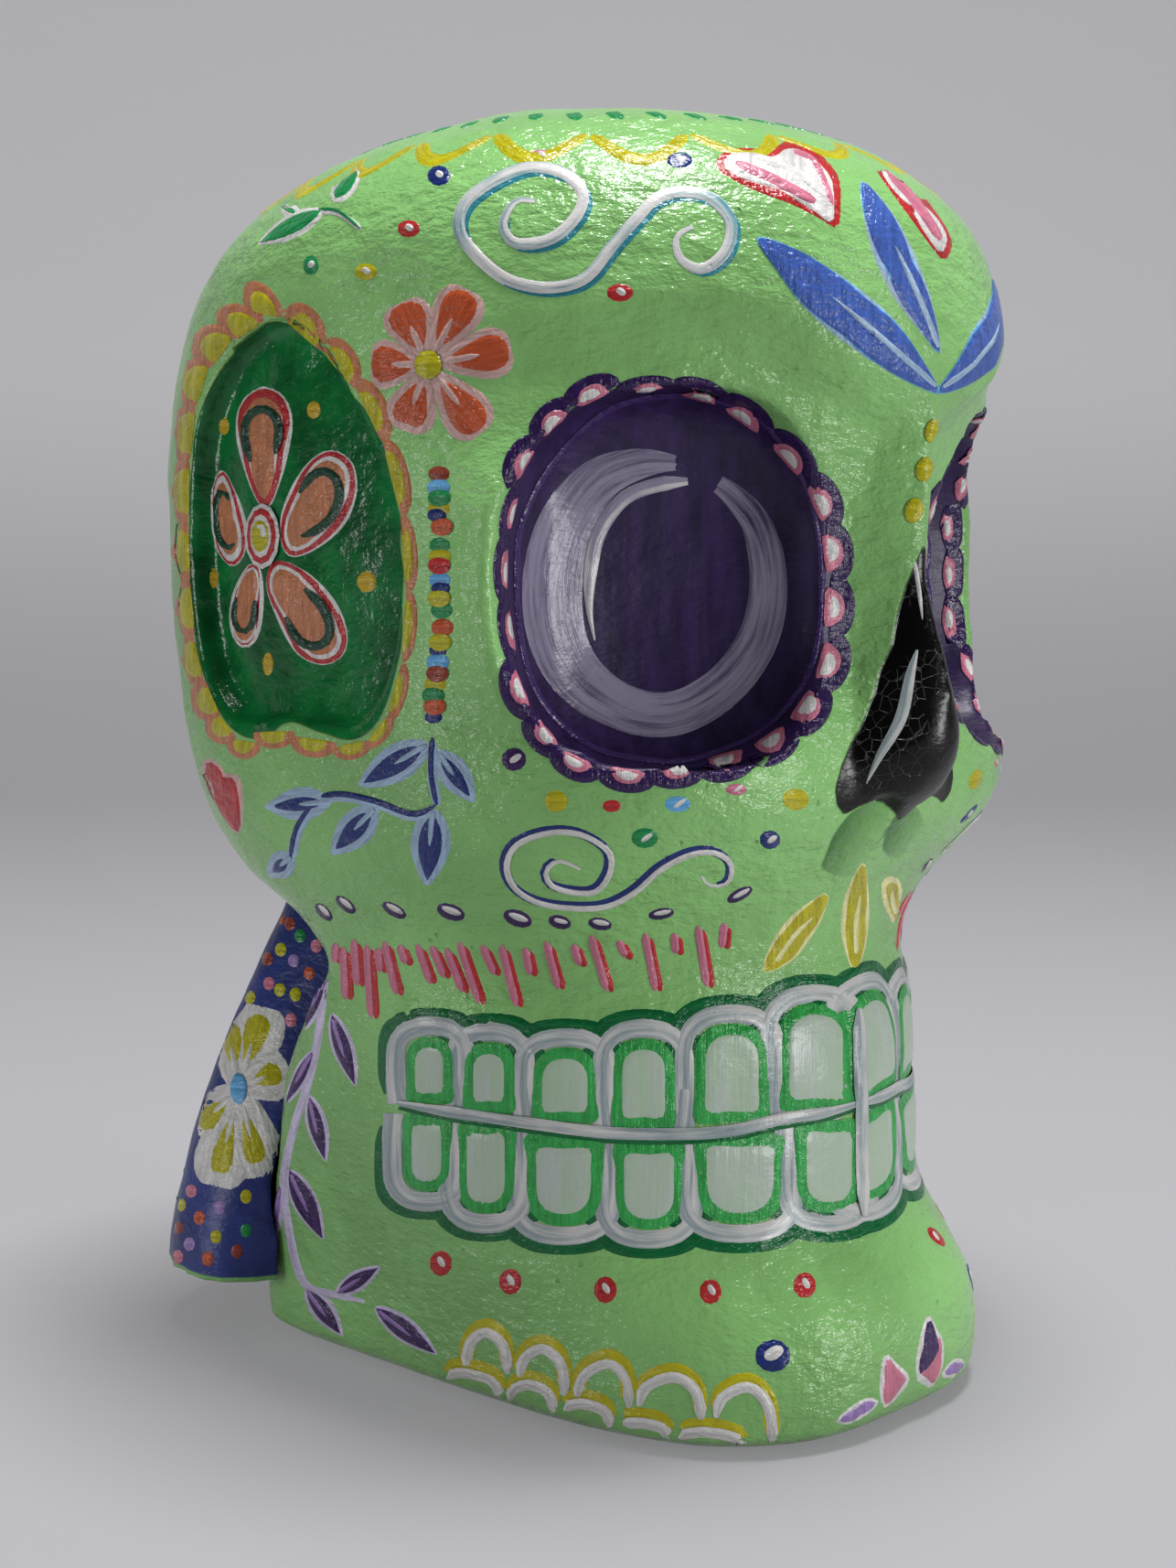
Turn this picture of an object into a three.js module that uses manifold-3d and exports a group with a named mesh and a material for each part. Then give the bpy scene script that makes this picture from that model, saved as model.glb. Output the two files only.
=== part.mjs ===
// A hand-painted papier-mache sugar skull that stands on the flat underside of its jaw.
// Two mirrored half shells are moulded and joined along the middle of the face by paper strips pasted inside.
// A flared hollow neck, moulded in halves too, is glued behind the jaw and under the back of the head.
// Millimetres, +Z up, face towards -Y, the skull's right side at -X, the floor at Z 0.

import * as THREE from "three";
import { mergeVertices } from "three/addons/utils/BufferGeometryUtils.js";
import Module from "manifold-3d";

const wasm = await Module();
wasm.setup();

// Paper shell
const WALL = 4; // thickness of the moulded paper
const GLUE_LINE = 0.3; // gap between glued pieces
const STRIP_WIDTH = 24; // joining strips pasted inside the seam
const STRIP_THICKNESS = 1.5;
const PASTE = 0.5; // gap between the shell and the strips

// Heights of the zones of the head, each measured from the one below
const BASE_EDGE = 6; // radius of the edge between the base and the sides
const CHIN_RISE = 23; // floor to the fullest part of the chin
const GUM_RISE = 19.5; // chin to the lower gum
const TOOTH_HEIGHT = 22; // gum to bite, the same for both rows
const RAMUS_RISE = 5; // upper gum to the top of the jaw's back edge
const UNDERSIDE_RISE = 6; // top of the jaw's back edge to the underside of the head
const MAXILLA_RISE = 10; // underside of the head to the hollow under the cheeks
const CHEEK_RISE = 18; // hollow under the cheeks to the cheekbones
const EYE_RISE = 43.5; // cheekbones to the middle of the eye sockets
const NASION_RISE = 36; // eyes to the hollow between the brows
const BROW_RISE = 16; // hollow between the brows to the brow ridge
const CROWN_RISE = 47; // brow ridge to the top of the crown

const chinLevel = CHIN_RISE;
const lowerGumLevel = chinLevel + GUM_RISE;
const biteLevel = lowerGumLevel + TOOTH_HEIGHT;
const upperGumLevel = biteLevel + TOOTH_HEIGHT;
const ramusLevel = upperGumLevel + RAMUS_RISE;
const undersideLevel = ramusLevel + UNDERSIDE_RISE;
const maxillaLevel = undersideLevel + MAXILLA_RISE;
const cheekLevel = maxillaLevel + CHEEK_RISE;
const eyeLevel = cheekLevel + EYE_RISE;
const nasionLevel = eyeLevel + NASION_RISE;
const browLevel = nasionLevel + BROW_RISE;
const crownLevel = browLevel + CROWN_RISE;

// Plan of the head at each level: reach to the front, to each side and to the back from the vertical axis,
// and the powers of the superellipses that round the front and the back of the outline.
const BASE_PLAN = { front: 79, side: 55, back: 68, frontPower: 2.9, backPower: 10 };
const CHIN_PLAN = { front: 78, side: 56, back: 65.5, frontPower: 2.7, backPower: 10 };
const LOWER_GUM_PLAN = { front: 64, side: 60, back: 57, frontPower: 2.2, backPower: 10 };
const BITE_PLAN = { front: 62, side: 63, back: 49.5, frontPower: 2.0, backPower: 10 };
const UPPER_GUM_PLAN = { front: 59, side: 66, back: 34, frontPower: 2.0, backPower: 9 };
const RAMUS_PLAN = { front: 58, side: 66, back: 30, frontPower: 2.0, backPower: 8 };
const UNDERSIDE_PLAN = { front: 58, side: 67, back: 60, frontPower: 2.0, backPower: 3 };
const MAXILLA_PLAN = { front: 62, side: 73, back: 76, frontPower: 2.2, backPower: 3 };
const CHEEK_PLAN = { front: 74, side: 79, back: 89, frontPower: 2.7, backPower: 3 };
const EYE_PLAN = { front: 68, side: 81.5, back: 97, frontPower: 2.55, backPower: 3 };
const NASION_PLAN = { front: 72, side: 81.5, back: 98, frontPower: 2.3, backPower: 2.9 };
const BROW_PLAN = { front: 82.5, side: 80.5, back: 96, frontPower: 1.85, backPower: 2.7 };
const PLAN = [
  { level: 0, ...BASE_PLAN },
  { level: chinLevel, ...CHIN_PLAN },
  { level: lowerGumLevel, ...LOWER_GUM_PLAN },
  { level: biteLevel, ...BITE_PLAN },
  { level: upperGumLevel, ...UPPER_GUM_PLAN },
  { level: ramusLevel, ...RAMUS_PLAN },
  { level: undersideLevel, ...UNDERSIDE_PLAN },
  { level: maxillaLevel, ...MAXILLA_PLAN },
  { level: cheekLevel, ...CHEEK_PLAN },
  { level: eyeLevel, ...EYE_PLAN },
  { level: nasionLevel, ...NASION_PLAN },
  { level: browLevel, ...BROW_PLAN },
];
const DOME = { front: 2.2, side: 2.4, back: 2.3, outline: 1.9 }; // powers that round the crown

// The brow ridge hangs down between the eyes, where the bridge of the nose runs into it
const BROW_DIP = 16;
const BROW_DIP_WIDTH = 30;
const BRIDGE_REACH = 78.5; // ridge of the bridge in front of the axis, at the eyes
const BRIDGE_WIDTH = 30;
const BRIDGE_POWER = 1.3;

// Eye sockets: bowls with a nearly flat floor
const SOCKET_WIDTH = 63;
const SOCKET_HEIGHT = 72;
const SOCKET_DEPTH = 17;
const SOCKET_SPREAD = 47.5; // middle of the socket from the middle of the face
const SOCKET_SINK = 5; // rim below the crest of the curved face
const SOCKET_AZIMUTH = 34; // degrees from straight ahead
const SOCKET_POWER = 2.8;

// Temple medallions, sunk to an even depth in the sides of the head
const TEMPLE_WIDTH = 68;
const TEMPLE_HEIGHT = 83;
const TEMPLE_DEPTH = 5;
const TEMPLE_BACK = 19; // middle of the medallion behind the axis
const TEMPLE_RISE = 11; // middle of the medallion above the eyes
const TEMPLE_TAPER = 0.55; // how far its front edge leans back towards the top
const TEMPLE_NOTCH = 4; // dip in the middle of its lower edge

// Nose: a wedge with a ridge, hollowed below by two nostrils
const NOSE_HEIGHT = 68.5;
const NOSE_WIDTH = 40;
const NOSE_REACH = 87; // tip in front of the axis
const NOSE_DROP = 6.5; // foot of the nose below the cheekbones
const NOSTRIL_WIDTH = 15;
const NOSTRIL_HEIGHT = 20;

// Teeth: low pads, wider towards the middle of the bite
const TOOTH_WIDTHS = [19.5, 19.5, 17.5, 15.5, 13.5, 17.5];
const TOOTH_RELIEF = 1.4;
const TOOTH_GAP = 1.6;
const TOOTH_BEVEL = 0.8;

// Neck: reaches from its own axis at the foot and at the top
const NECK_LIFT = 14; // clearance above the floor
const NECK_AXIS = 68; // behind the head's axis
const NECK_FOOT = { front: 24, side: 68, back: 38 };
const NECK_TOP = { front: 46, side: 38, back: 12 };
const NECK_POWER = 2.3;
const NECK_FLARE = 1.5; // how late the neck draws in above its foot

// Mesh density
const OUTLINE_STEPS = 48; // faces round the outside of the head
const LEVEL_STEPS = 38; // rings from base to crown
const INSIDE_SHARE = 0.5; // of these steps on surfaces inside the shell
const NECK_STEPS = 28; // faces round the neck
const NECK_RINGS = 12;

// A smooth curve through points given as [level, value].
function profile(points) {
  const slopes = points.map((p, i) => {
    const a = points[Math.max(i - 1, 0)];
    const b = points[Math.min(i + 1, points.length - 1)];
    return (b[1] - a[1]) / (b[0] - a[0]);
  });
  return (z) => {
    const last = points.length - 1;
    if (z <= points[0][0]) return points[0][1];
    if (z >= points[last][0]) return points[last][1];
    const i = points.findIndex((p) => p[0] > z) - 1;
    const span = points[i + 1][0] - points[i][0];
    const t = (z - points[i][0]) / span;
    const near = (1 + 2 * t) * (1 - t) ** 2 * points[i][1] + t * (1 - t) ** 2 * span * slopes[i];
    const far = t ** 2 * (3 - 2 * t) * points[i + 1][1] - t ** 2 * (1 - t) * span * slopes[i + 1];
    return near + far;
  };
}

const planCurve = Object.fromEntries(
  Object.keys(PLAN[0]).map((key) => [key, profile(PLAN.map((row) => [row.level, row[key]]))]),
);

// Share of a reach that is left at a height in the dome of the crown.
function domeShare(z, power) {
  const t = THREE.MathUtils.clamp((z - browLevel) / CROWN_RISE, 0, 1);
  return (1 - t ** power) ** (1 / power);
}

// Reach of the head to the front, side or back at a height, with the edge of the base rounded off.
function reach(key, z) {
  const t = THREE.MathUtils.clamp(1 - z / BASE_EDGE, 0, 1);
  const lost = BASE_EDGE * (1 - Math.sqrt(1 - t ** 2));
  return (planCurve[key](z) - lost) * domeShare(z, DOME[key]);
}

// The same for a skin moved inwards, or outwards where the inset is negative.
function insetReach(key, z, inset) {
  const levels = [z - inset, z, z + inset].map((level) => THREE.MathUtils.clamp(level, 0, crownLevel));
  const near = levels.map((level) => reach(key, level));
  return Math.max((inset < 0 ? Math.max(...near) : Math.min(...near)) - inset, 0.3);
}

// Height whose front profile is met at a height and a distance from the middle, where the brow hangs down.
// The inside of the shell doesn't follow it.
function browWarp(x, z) {
  const ridge = browLevel - BROW_DIP * Math.exp(-((x / BROW_DIP_WIDTH) ** 2));
  const calm = browLevel + BROW_DIP;
  if (z <= cheekLevel || z >= calm) return z;
  if (z < ridge) return THREE.MathUtils.mapLinear(z, cheekLevel, ridge, cheekLevel, browLevel);
  return THREE.MathUtils.mapLinear(z, ridge, calm, browLevel, calm);
}

// A point of the head's outline at a height: angle 0 is the middle of the face, positive to the skull's left.
function outlinePoint(angle, z, inset = 0) {
  const ahead = Math.cos(angle);
  const aside = Math.sin(angle);
  const half = ahead > 0 ? "front" : "back";
  const rise = THREE.MathUtils.clamp((z - browLevel) / CROWN_RISE, 0, 1);
  const power = THREE.MathUtils.lerp(planCurve[half + "Power"](z), DOME.outline, rise);
  const x = insetReach("side", z, inset) * Math.sign(aside) * Math.abs(aside) ** (2 / power);
  const level = ahead > 0 && inset < WALL ? browWarp(x, z) : z;
  const y = -insetReach(half, level, inset) * Math.sign(ahead) * Math.abs(ahead) ** (2 / power);
  return new THREE.Vector3(x, y, z);
}

// A closed solid through level rings, all with as many points and counter-clockwise seen from above.
function loft(rings) {
  const count = rings[0].length;
  const index = [];
  for (let r = 0; r + 1 < rings.length; r++) {
    for (let i = 0; i < count; i++) {
      const a = r * count + i;
      const b = r * count + ((i + 1) % count);
      index.push(a, b, a + count, b, b + count, a + count);
    }
  }
  [0, rings.length - 1].forEach((r) => {
    const flat = rings[r].map((p) => new THREE.Vector2(p.x, p.y));
    THREE.ShapeUtils.triangulateShape(flat, []).forEach(([a, b, c]) => {
      index.push(...(r ? [a, b, c] : [a, c, b]).map((v) => v + r * count));
    });
  });
  const positions = rings.flat().flatMap((p) => p.toArray());
  const geometry = new THREE.BufferGeometry();
  geometry.setAttribute("position", new THREE.Float32BufferAttribute(positions, 3));
  return geometry.setIndex(index);
}

// A three.js geometry as a solid that can be joined and cut.
function solid(geometry, matrix = new THREE.Matrix4()) {
  const bare = geometry.clone().applyMatrix4(matrix);
  bare.deleteAttribute("normal");
  bare.deleteAttribute("uv");
  const merged = mergeVertices(bare, 1e-3);
  return new wasm.Manifold(
    new wasm.Mesh({
      numProp: 3,
      vertProperties: Float32Array.from(merged.attributes.position.array),
      triVerts: Uint32Array.from(merged.index.array),
    }),
  );
}

// A box from corner to corner.
function box(x0, y0, z0, x1, y1, z1) {
  const geometry = new THREE.BoxGeometry(x1 - x0, y1 - y0, z1 - z0);
  return solid(geometry.translate((x0 + x1) / 2, (y0 + y1) / 2, (z0 + z1) / 2));
}

// The whole head as one solid, its skin moved inwards by the inset and drawn with a share of the steps.
function head(inset, share = 1) {
  const levels = Math.round(LEVEL_STEPS * share);
  const steps = 4 * Math.round((OUTLINE_STEPS * share) / 4);
  const rings = [];
  for (let r = 0; r <= levels; r++) {
    const even = r / levels;
    const eased = (1 - Math.cos(even * Math.PI)) / 2;
    const z = THREE.MathUtils.lerp(inset, crownLevel - inset, (even + eased) / 2);
    const ring = [];
    for (let i = 0; i < steps; i++) ring.push(outlinePoint((i / steps) * 2 * Math.PI, z, inset));
    rings.push(ring);
  }
  return solid(loft(rings));
}

// Right eye socket as a squared-off ball, grown by a margin.
function socket(margin) {
  const ball = new THREE.SphereGeometry(1, 24, 14);
  const points = ball.attributes.position;
  const p = new THREE.Vector3();
  for (let i = 0; i < points.count; i++) {
    p.fromBufferAttribute(points, i);
    const sum = p.toArray().reduce((total, v) => total + Math.abs(v) ** SOCKET_POWER, 0);
    p.multiplyScalar(sum ** (-1 / SOCKET_POWER));
    points.setXYZ(i, p.x, p.y, p.z);
  }
  const power = planCurve.frontPower(eyeLevel);
  const share = (1 - (SOCKET_SPREAD / reach("side", eyeLevel)) ** power) ** (1 / power);
  const crest = reach("front", eyeLevel) * share;
  const place = new THREE.Matrix4().makeTranslation(-SOCKET_SPREAD, SOCKET_SINK - crest, eyeLevel);
  place.multiply(new THREE.Matrix4().makeRotationZ(-THREE.MathUtils.degToRad(SOCKET_AZIMUTH)));
  const half = [SOCKET_WIDTH / 2, SOCKET_DEPTH, SOCKET_HEIGHT / 2].map((size) => size + margin);
  place.multiply(new THREE.Matrix4().makeScale(...half));
  return solid(ball, place);
}

// Right temple medallion as a column through the side of the head, grown by a margin.
function templeColumn(margin) {
  const outline = [];
  for (let i = 0; i < 48; i++) {
    const angle = (i / 48) * 2 * Math.PI;
    const c = Math.cos(angle);
    const s = Math.sin(angle);
    const dip = TEMPLE_NOTCH * Math.exp(-(((c * TEMPLE_WIDTH) / 2 / 9) ** 2)) * (s < 0 ? 1 : 0);
    const squareness = s > 0 ? 0.85 : 0.68;
    const rise = Math.sign(s) * Math.abs(s) ** squareness;
    const lean = c < 0 ? 1 - TEMPLE_TAPER * Math.max(rise, 0) ** 1.4 : 1;
    const y = Math.sign(c) * Math.abs(c) ** squareness * (TEMPLE_WIDTH / 2 + margin) * lean;
    const z = rise * (TEMPLE_HEIGHT / 2 + margin) + dip;
    outline.push(new THREE.Vector2(y, z));
  }
  const length = reach("side", eyeLevel);
  const shape = new THREE.Shape(outline);
  const geometry = new THREE.ExtrudeGeometry(shape, { depth: length, bevelEnabled: false });
  const axes = new THREE.Matrix4().makeBasis(
    new THREE.Vector3(0, 1, 0),
    new THREE.Vector3(0, 0, 1),
    new THREE.Vector3(1, 0, 0),
  );
  axes.setPosition(-length * 1.4, TEMPLE_BACK, eyeLevel + TEMPLE_RISE);
  return solid(geometry, axes);
}

// The nose, rooted in the face, with its nostrils cut.
function nose() {
  const foot = cheekLevel - NOSE_DROP;
  const ridge = profile([
    [0, NOSE_REACH - 17],
    [0.13, NOSE_REACH - 6],
    [0.28, NOSE_REACH],
    [0.55, NOSE_REACH - 3.5],
    [1, NOSE_REACH - 13],
  ]);
  const spread = profile([
    [0, 0.8],
    [0.12, 1],
    [0.55, 0.5],
    [1, 0.06],
  ]);
  const rings = [];
  for (let r = 0; r <= 14; r++) {
    const t = r / 14;
    const ring = [];
    const root = NOSE_REACH - 30;
    for (let i = 0; i < 24; i++) {
      const angle = (i / 24) * 2 * Math.PI;
      const ahead = Math.cos(angle);
      const aside = Math.sin(angle);
      const x = (NOSE_WIDTH / 2) * spread(t) * Math.sign(aside) * Math.abs(aside) ** 1.1;
      const y = -root - (ahead > 0 ? ridge(t) - root : 6) * ahead;
      ring.push(new THREE.Vector3(x, y, foot + t * NOSE_HEIGHT));
    }
    rings.push(ring);
  }
  const ball = new THREE.SphereGeometry(1, 16, 12);
  const place = new THREE.Matrix4().makeTranslation(-NOSTRIL_WIDTH * 0.58, 13 - NOSE_REACH, foot);
  place.multiply(new THREE.Matrix4().makeScale(NOSTRIL_WIDTH / 2, 11, NOSTRIL_HEIGHT / 2));
  return solid(loft(rings)).subtract(solid(ball, place));
}

// The ridge between the eyes, from behind the nose up to the brow.
function bridge() {
  const foot = cheekLevel + NOSE_HEIGHT / 4;
  const top = browLevel - BROW_DIP / 2;
  const ridge = profile([
    [foot, BRIDGE_REACH - 4],
    [eyeLevel, BRIDGE_REACH],
    [nasionLevel, BRIDGE_REACH + 3.5],
    [top, BRIDGE_REACH + 2.5],
  ]);
  const root = BRIDGE_REACH - 16.5;
  const rings = [];
  for (let r = 0; r <= 9; r++) {
    const z = THREE.MathUtils.lerp(foot, top, r / 9);
    const ring = [];
    for (let i = 0; i < 20; i++) {
      const angle = (i / 20) * 2 * Math.PI;
      const ahead = Math.cos(angle);
      const aside = Math.sin(angle);
      const length = ahead > 0 ? ridge(z) - root : 4;
      const x = (BRIDGE_WIDTH / 2) * Math.sign(aside) * Math.abs(aside) ** (2 / BRIDGE_POWER);
      const y = -root - length * Math.sign(ahead) * Math.abs(ahead) ** (2 / BRIDGE_POWER);
      ring.push(new THREE.Vector3(x, y, z));
    }
    rings.push(ring);
  }
  return solid(loft(rings));
}

// One tooth pad on the skin of the jaw, its crown towards the bite where way is -1 and +1 for the upper row.
function tooth(angle, width, way) {
  const middle = biteLevel + (way * TOOTH_HEIGHT) / 2;
  const at = outlinePoint(angle, middle);
  const across = outlinePoint(angle + 0.02, middle).sub(outlinePoint(angle - 0.02, middle)).normalize();
  const upward = outlinePoint(angle, middle + 2).sub(outlinePoint(angle, middle - 2)).normalize();
  const out = new THREE.Vector3().crossVectors(across, upward).normalize();
  const rise = new THREE.Vector3().crossVectors(out, across);
  const w = (width - TOOTH_GAP) / 2 - TOOTH_BEVEL;
  const h = (TOOTH_HEIGHT - TOOTH_GAP) / 2 - TOOTH_BEVEL;
  const shape = new THREE.Shape();
  shape.moveTo(-w, -way * h);
  shape.lineTo(-w, way * (h - w * 0.8));
  shape.absellipse(0, way * (h - w * 0.8), w, w * 0.8, Math.PI, 0, way > 0);
  shape.lineTo(w, -way * h);
  const depth = WALL;
  const geometry = new THREE.ExtrudeGeometry(shape, {
    depth,
    curveSegments: 4,
    bevelThickness: TOOTH_BEVEL,
    bevelSize: TOOTH_BEVEL,
    bevelSegments: 1,
  });
  geometry.translate(0, 0, TOOTH_RELIEF - TOOTH_BEVEL - depth);
  return solid(geometry, new THREE.Matrix4().makeBasis(across, rise, out).setPosition(at));
}

// Angles of the middles of the teeth of the right side, from the middle of the bite outwards.
function toothAngles() {
  const steps = 600;
  const targets = TOOTH_WIDTHS.map((w, i) => TOOTH_WIDTHS.slice(0, i).reduce((sum, v) => sum + v, w / 2));
  const angles = [];
  let length = 0;
  for (let i = 1; i <= steps && angles.length < targets.length; i++) {
    const angle = (-i / steps) * Math.PI;
    const before = (-(i - 1) / steps) * Math.PI;
    length += outlinePoint(angle, biteLevel).distanceTo(outlinePoint(before, biteLevel));
    if (length >= targets[angles.length]) angles.push(angle);
  }
  return angles;
}

// The neck as a solid, its skin moved inwards by the inset.
function neckBody(inset) {
  const rings = [];
  const top = cheekLevel;
  for (let r = 0; r <= NECK_RINGS; r++) {
    const z = THREE.MathUtils.lerp(NECK_LIFT + inset, top, r / NECK_RINGS);
    const t = THREE.MathUtils.clamp((z - NECK_LIFT) / (undersideLevel - NECK_LIFT), 0, 1);
    const ease = t ** NECK_FLARE;
    const ring = [];
    for (let i = 0; i < NECK_STEPS; i++) {
      const angle = (i / NECK_STEPS) * 2 * Math.PI;
      const ahead = Math.cos(angle);
      const aside = Math.sin(angle);
      const half = ahead > 0 ? "front" : "back";
      const side = THREE.MathUtils.lerp(NECK_FOOT.side, NECK_TOP.side, ease) - inset;
      const length = THREE.MathUtils.lerp(NECK_FOOT[half], NECK_TOP[half], ease) - inset;
      const x = side * Math.sign(aside) * Math.abs(aside) ** (2 / NECK_POWER);
      const y = NECK_AXIS - length * Math.sign(ahead) * Math.abs(ahead) ** (2 / NECK_POWER);
      ring.push(new THREE.Vector3(x, y, z));
    }
    rings.push(ring);
  }
  return solid(loft(rings));
}

// A solid as a three.js geometry.
function geometryOf(made) {
  const mesh = made.getMesh();
  const geometry = new THREE.BufferGeometry();
  geometry.setAttribute("position", new THREE.BufferAttribute(Float32Array.from(mesh.vertProperties), 3));
  geometry.setIndex(new THREE.BufferAttribute(Uint32Array.from(mesh.triVerts), 1));
  geometry.computeVertexNormals();
  return geometry;
}

const span = 2 * crownLevel;
const rightSide = box(-span, -span, -span, -GLUE_LINE / 2, span, span);

// Right half shell: the moulded face and head, hollowed to an even wall
let moulded = head(0).add(bridge()).add(nose());
toothAngles().forEach((angle, i) => {
  moulded = moulded.add(tooth(angle, TOOTH_WIDTHS[i], 1)).add(tooth(angle, TOOTH_WIDTHS[i], -1));
});
const medallion = templeColumn(0).subtract(head(TEMPLE_DEPTH));
const cavity = head(WALL, INSIDE_SHARE)
  .subtract(socket(WALL))
  .subtract(templeColumn(WALL).subtract(head(TEMPLE_DEPTH + WALL, INSIDE_SHARE)));
const rightShell = moulded.subtract(socket(0)).subtract(medallion).subtract(cavity).intersect(rightSide);

// Right half of the neck, trimmed to the head
const rightNeck = neckBody(0).subtract(neckBody(WALL)).subtract(head(-GLUE_LINE)).intersect(rightSide);

// Paper strips pasted over the seam on the inside, one round the head in four lengths and one in the neck
const pasted = WALL + PASTE;
const seamBand = box(-STRIP_WIDTH / 2, -span, -span, STRIP_WIDTH / 2, span, span);
const stripInside = head(pasted + STRIP_THICKNESS, INSIDE_SHARE);
const headBand = head(pasted, INSIDE_SHARE).subtract(stripInside).intersect(seamBand);
const low = lowerGumLevel + GLUE_LINE;
const high = browLevel - GLUE_LINE;
const behindNeckAxis = box(-span, NECK_AXIS, -span, span, span, span);
const neckBand = neckBody(pasted).subtract(neckBody(pasted + STRIP_THICKNESS)).intersect(seamBand);

const skull = new THREE.Group();
skull.name = "sugar_skull";

function add(name, made, color, mirrored = false) {
  const material = new THREE.MeshStandardMaterial({ color, roughness: 0.35, metalness: 0 });
  const mesh = new THREE.Mesh(geometryOf(made), material);
  mesh.name = name;
  if (mirrored) mesh.scale.x = -1;
  skull.add(mesh);
}

add("right_half_shell", rightShell, 0x6f9d5c);
add("left_half_shell", rightShell, 0x6f9d5c, true);
add("neck_right_half", rightNeck, 0x27337e);
add("neck_left_half", rightNeck, 0x27337e, true);
add("seam_strip_crown", headBand.intersect(box(-span, -span, browLevel, span, span, span)), 0xb9ab8d);
add("seam_strip_base", headBand.intersect(box(-span, -span, -span, span, span, lowerGumLevel)), 0xb9ab8d);
add("seam_strip_face", headBand.intersect(box(-span, -span, low, span, 0, high)), 0xb9ab8d);
add("seam_strip_back", headBand.intersect(box(-span, 0, low, span, span, high)), 0xb9ab8d);
add("neck_seam_strip", neckBand.subtract(head(-GLUE_LINE)).intersect(behindNeckAxis), 0xb9ab8d);

// The origin is on the floor, in the middle of the box round the skull
const bounds = new THREE.Box3().setFromObject(skull);
skull.position.y = -(bounds.min.y + bounds.max.y) / 2;

export default skull;
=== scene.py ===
"""Sugar skull: the painted and varnished looks of a papier-mache head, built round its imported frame."""

import math

import bmesh
import bpy
import numpy as np
from bpy.props import FloatProperty, FloatVectorProperty, IntProperty, PointerProperty
from mathutils import Matrix, Vector, noise
from mathutils.bvhtree import BVHTree


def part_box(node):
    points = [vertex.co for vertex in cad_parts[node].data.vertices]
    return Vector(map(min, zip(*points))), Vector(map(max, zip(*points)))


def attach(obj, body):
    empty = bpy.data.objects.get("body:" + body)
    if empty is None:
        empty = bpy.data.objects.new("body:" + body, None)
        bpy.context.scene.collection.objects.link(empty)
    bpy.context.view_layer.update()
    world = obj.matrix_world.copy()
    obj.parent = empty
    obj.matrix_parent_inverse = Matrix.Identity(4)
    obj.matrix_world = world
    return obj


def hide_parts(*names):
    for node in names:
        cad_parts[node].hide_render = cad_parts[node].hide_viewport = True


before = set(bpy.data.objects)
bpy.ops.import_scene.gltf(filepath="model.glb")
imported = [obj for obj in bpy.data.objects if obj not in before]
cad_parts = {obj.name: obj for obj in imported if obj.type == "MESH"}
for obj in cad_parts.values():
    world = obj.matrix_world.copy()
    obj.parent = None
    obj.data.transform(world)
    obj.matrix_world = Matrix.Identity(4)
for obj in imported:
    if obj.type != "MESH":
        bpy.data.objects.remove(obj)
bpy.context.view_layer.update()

bl_info = {
    "name": "Sugar Skull Painter",
    "version": (1, 0, 0),
    "blender": (4, 5, 0),
    "location": "View3D > Sidebar > Skull",
    "description": "Papier-mache skin, hand-painted ornament, varnish and studio for a sugar skull",
    "category": "Object",
}

MM = 0.001
PHOTO_WIDTH = 1286
PHOTO_HEIGHT = 1714
PIXEL = 0.185 * MM  # size of a photograph's pixel on the near side of the skull
SOCKET_TURN = math.radians(34)  # how far the eye sockets look aside
MARK_LIMIT = 20  # millimetres from an outline beyond which a mark says no more
HEAD_SKIN = "painted_head_skin"
NECK_SKIN = "painted_neck_skin"


def pot(name, shade, description):
    """A paint colour, given as the 8-bit shade that it shows on the skull."""
    linear = [(c / 255 / 12.92 if c < 11 else ((c / 255 + 0.055) / 1.055) ** 2.4) for c in shade]
    return FloatVectorProperty(
        name=name, description=description, default=linear, size=3, min=0, max=1, subtype="COLOR"
    )


def length(name, size, description):
    """A size in metres."""
    return FloatProperty(name=name, description=description, default=size, unit="LENGTH", precision=5)


class SkullShape(bpy.types.PropertyGroup):
    """Sizes of the paper skin and of the paint on it."""

    cell: length("Skin cell", 1.4 * MM, "Cell size of the skin's even mesh")
    rounding: IntProperty(name="Rounding", description="Passes that round the skin between its creases", default=22)
    crease: FloatProperty(
        name="Crease", description="Bend above which an edge stays crisp", subtype="ANGLE",
        default=math.radians(17),
    )
    lump_span: length("Lump span", 17 * MM, "Distance between the lumps of the pasted paper")
    lump_height: length("Lump height", 0.45 * MM, "Height of the lumps of the pasted paper")
    fold_span: length("Fold span", 5 * MM, "Distance between the small folds of the paper")
    fold_height: length("Fold height", 0.14 * MM, "Height of the small folds of the paper")
    brow_rise: length("Brow rise", 1.2 * MM, "How far the brow's edge stands out")
    brow_sink: length("Brow sink", 1.6 * MM, "How far the skin under the brow is drawn in")
    flare_rise: length("Flare rise", 5 * MM, "How far the outer edge of the eye sockets stands out")
    flare_slope: FloatProperty(name="Flare slope", description="Fall of the socket's outer edge", default=2.2)
    flare_drop: length("Flare drop", 13 * MM, "How far the socket's outer edge falls away")
    paint_body: length("Paint body", 0.15 * MM, "Thickness of one coat in a brush touch")
    paint_edge: length("Paint edge", 0.1 * MM, "Depth to which the edge of a touch is sunk")


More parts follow.
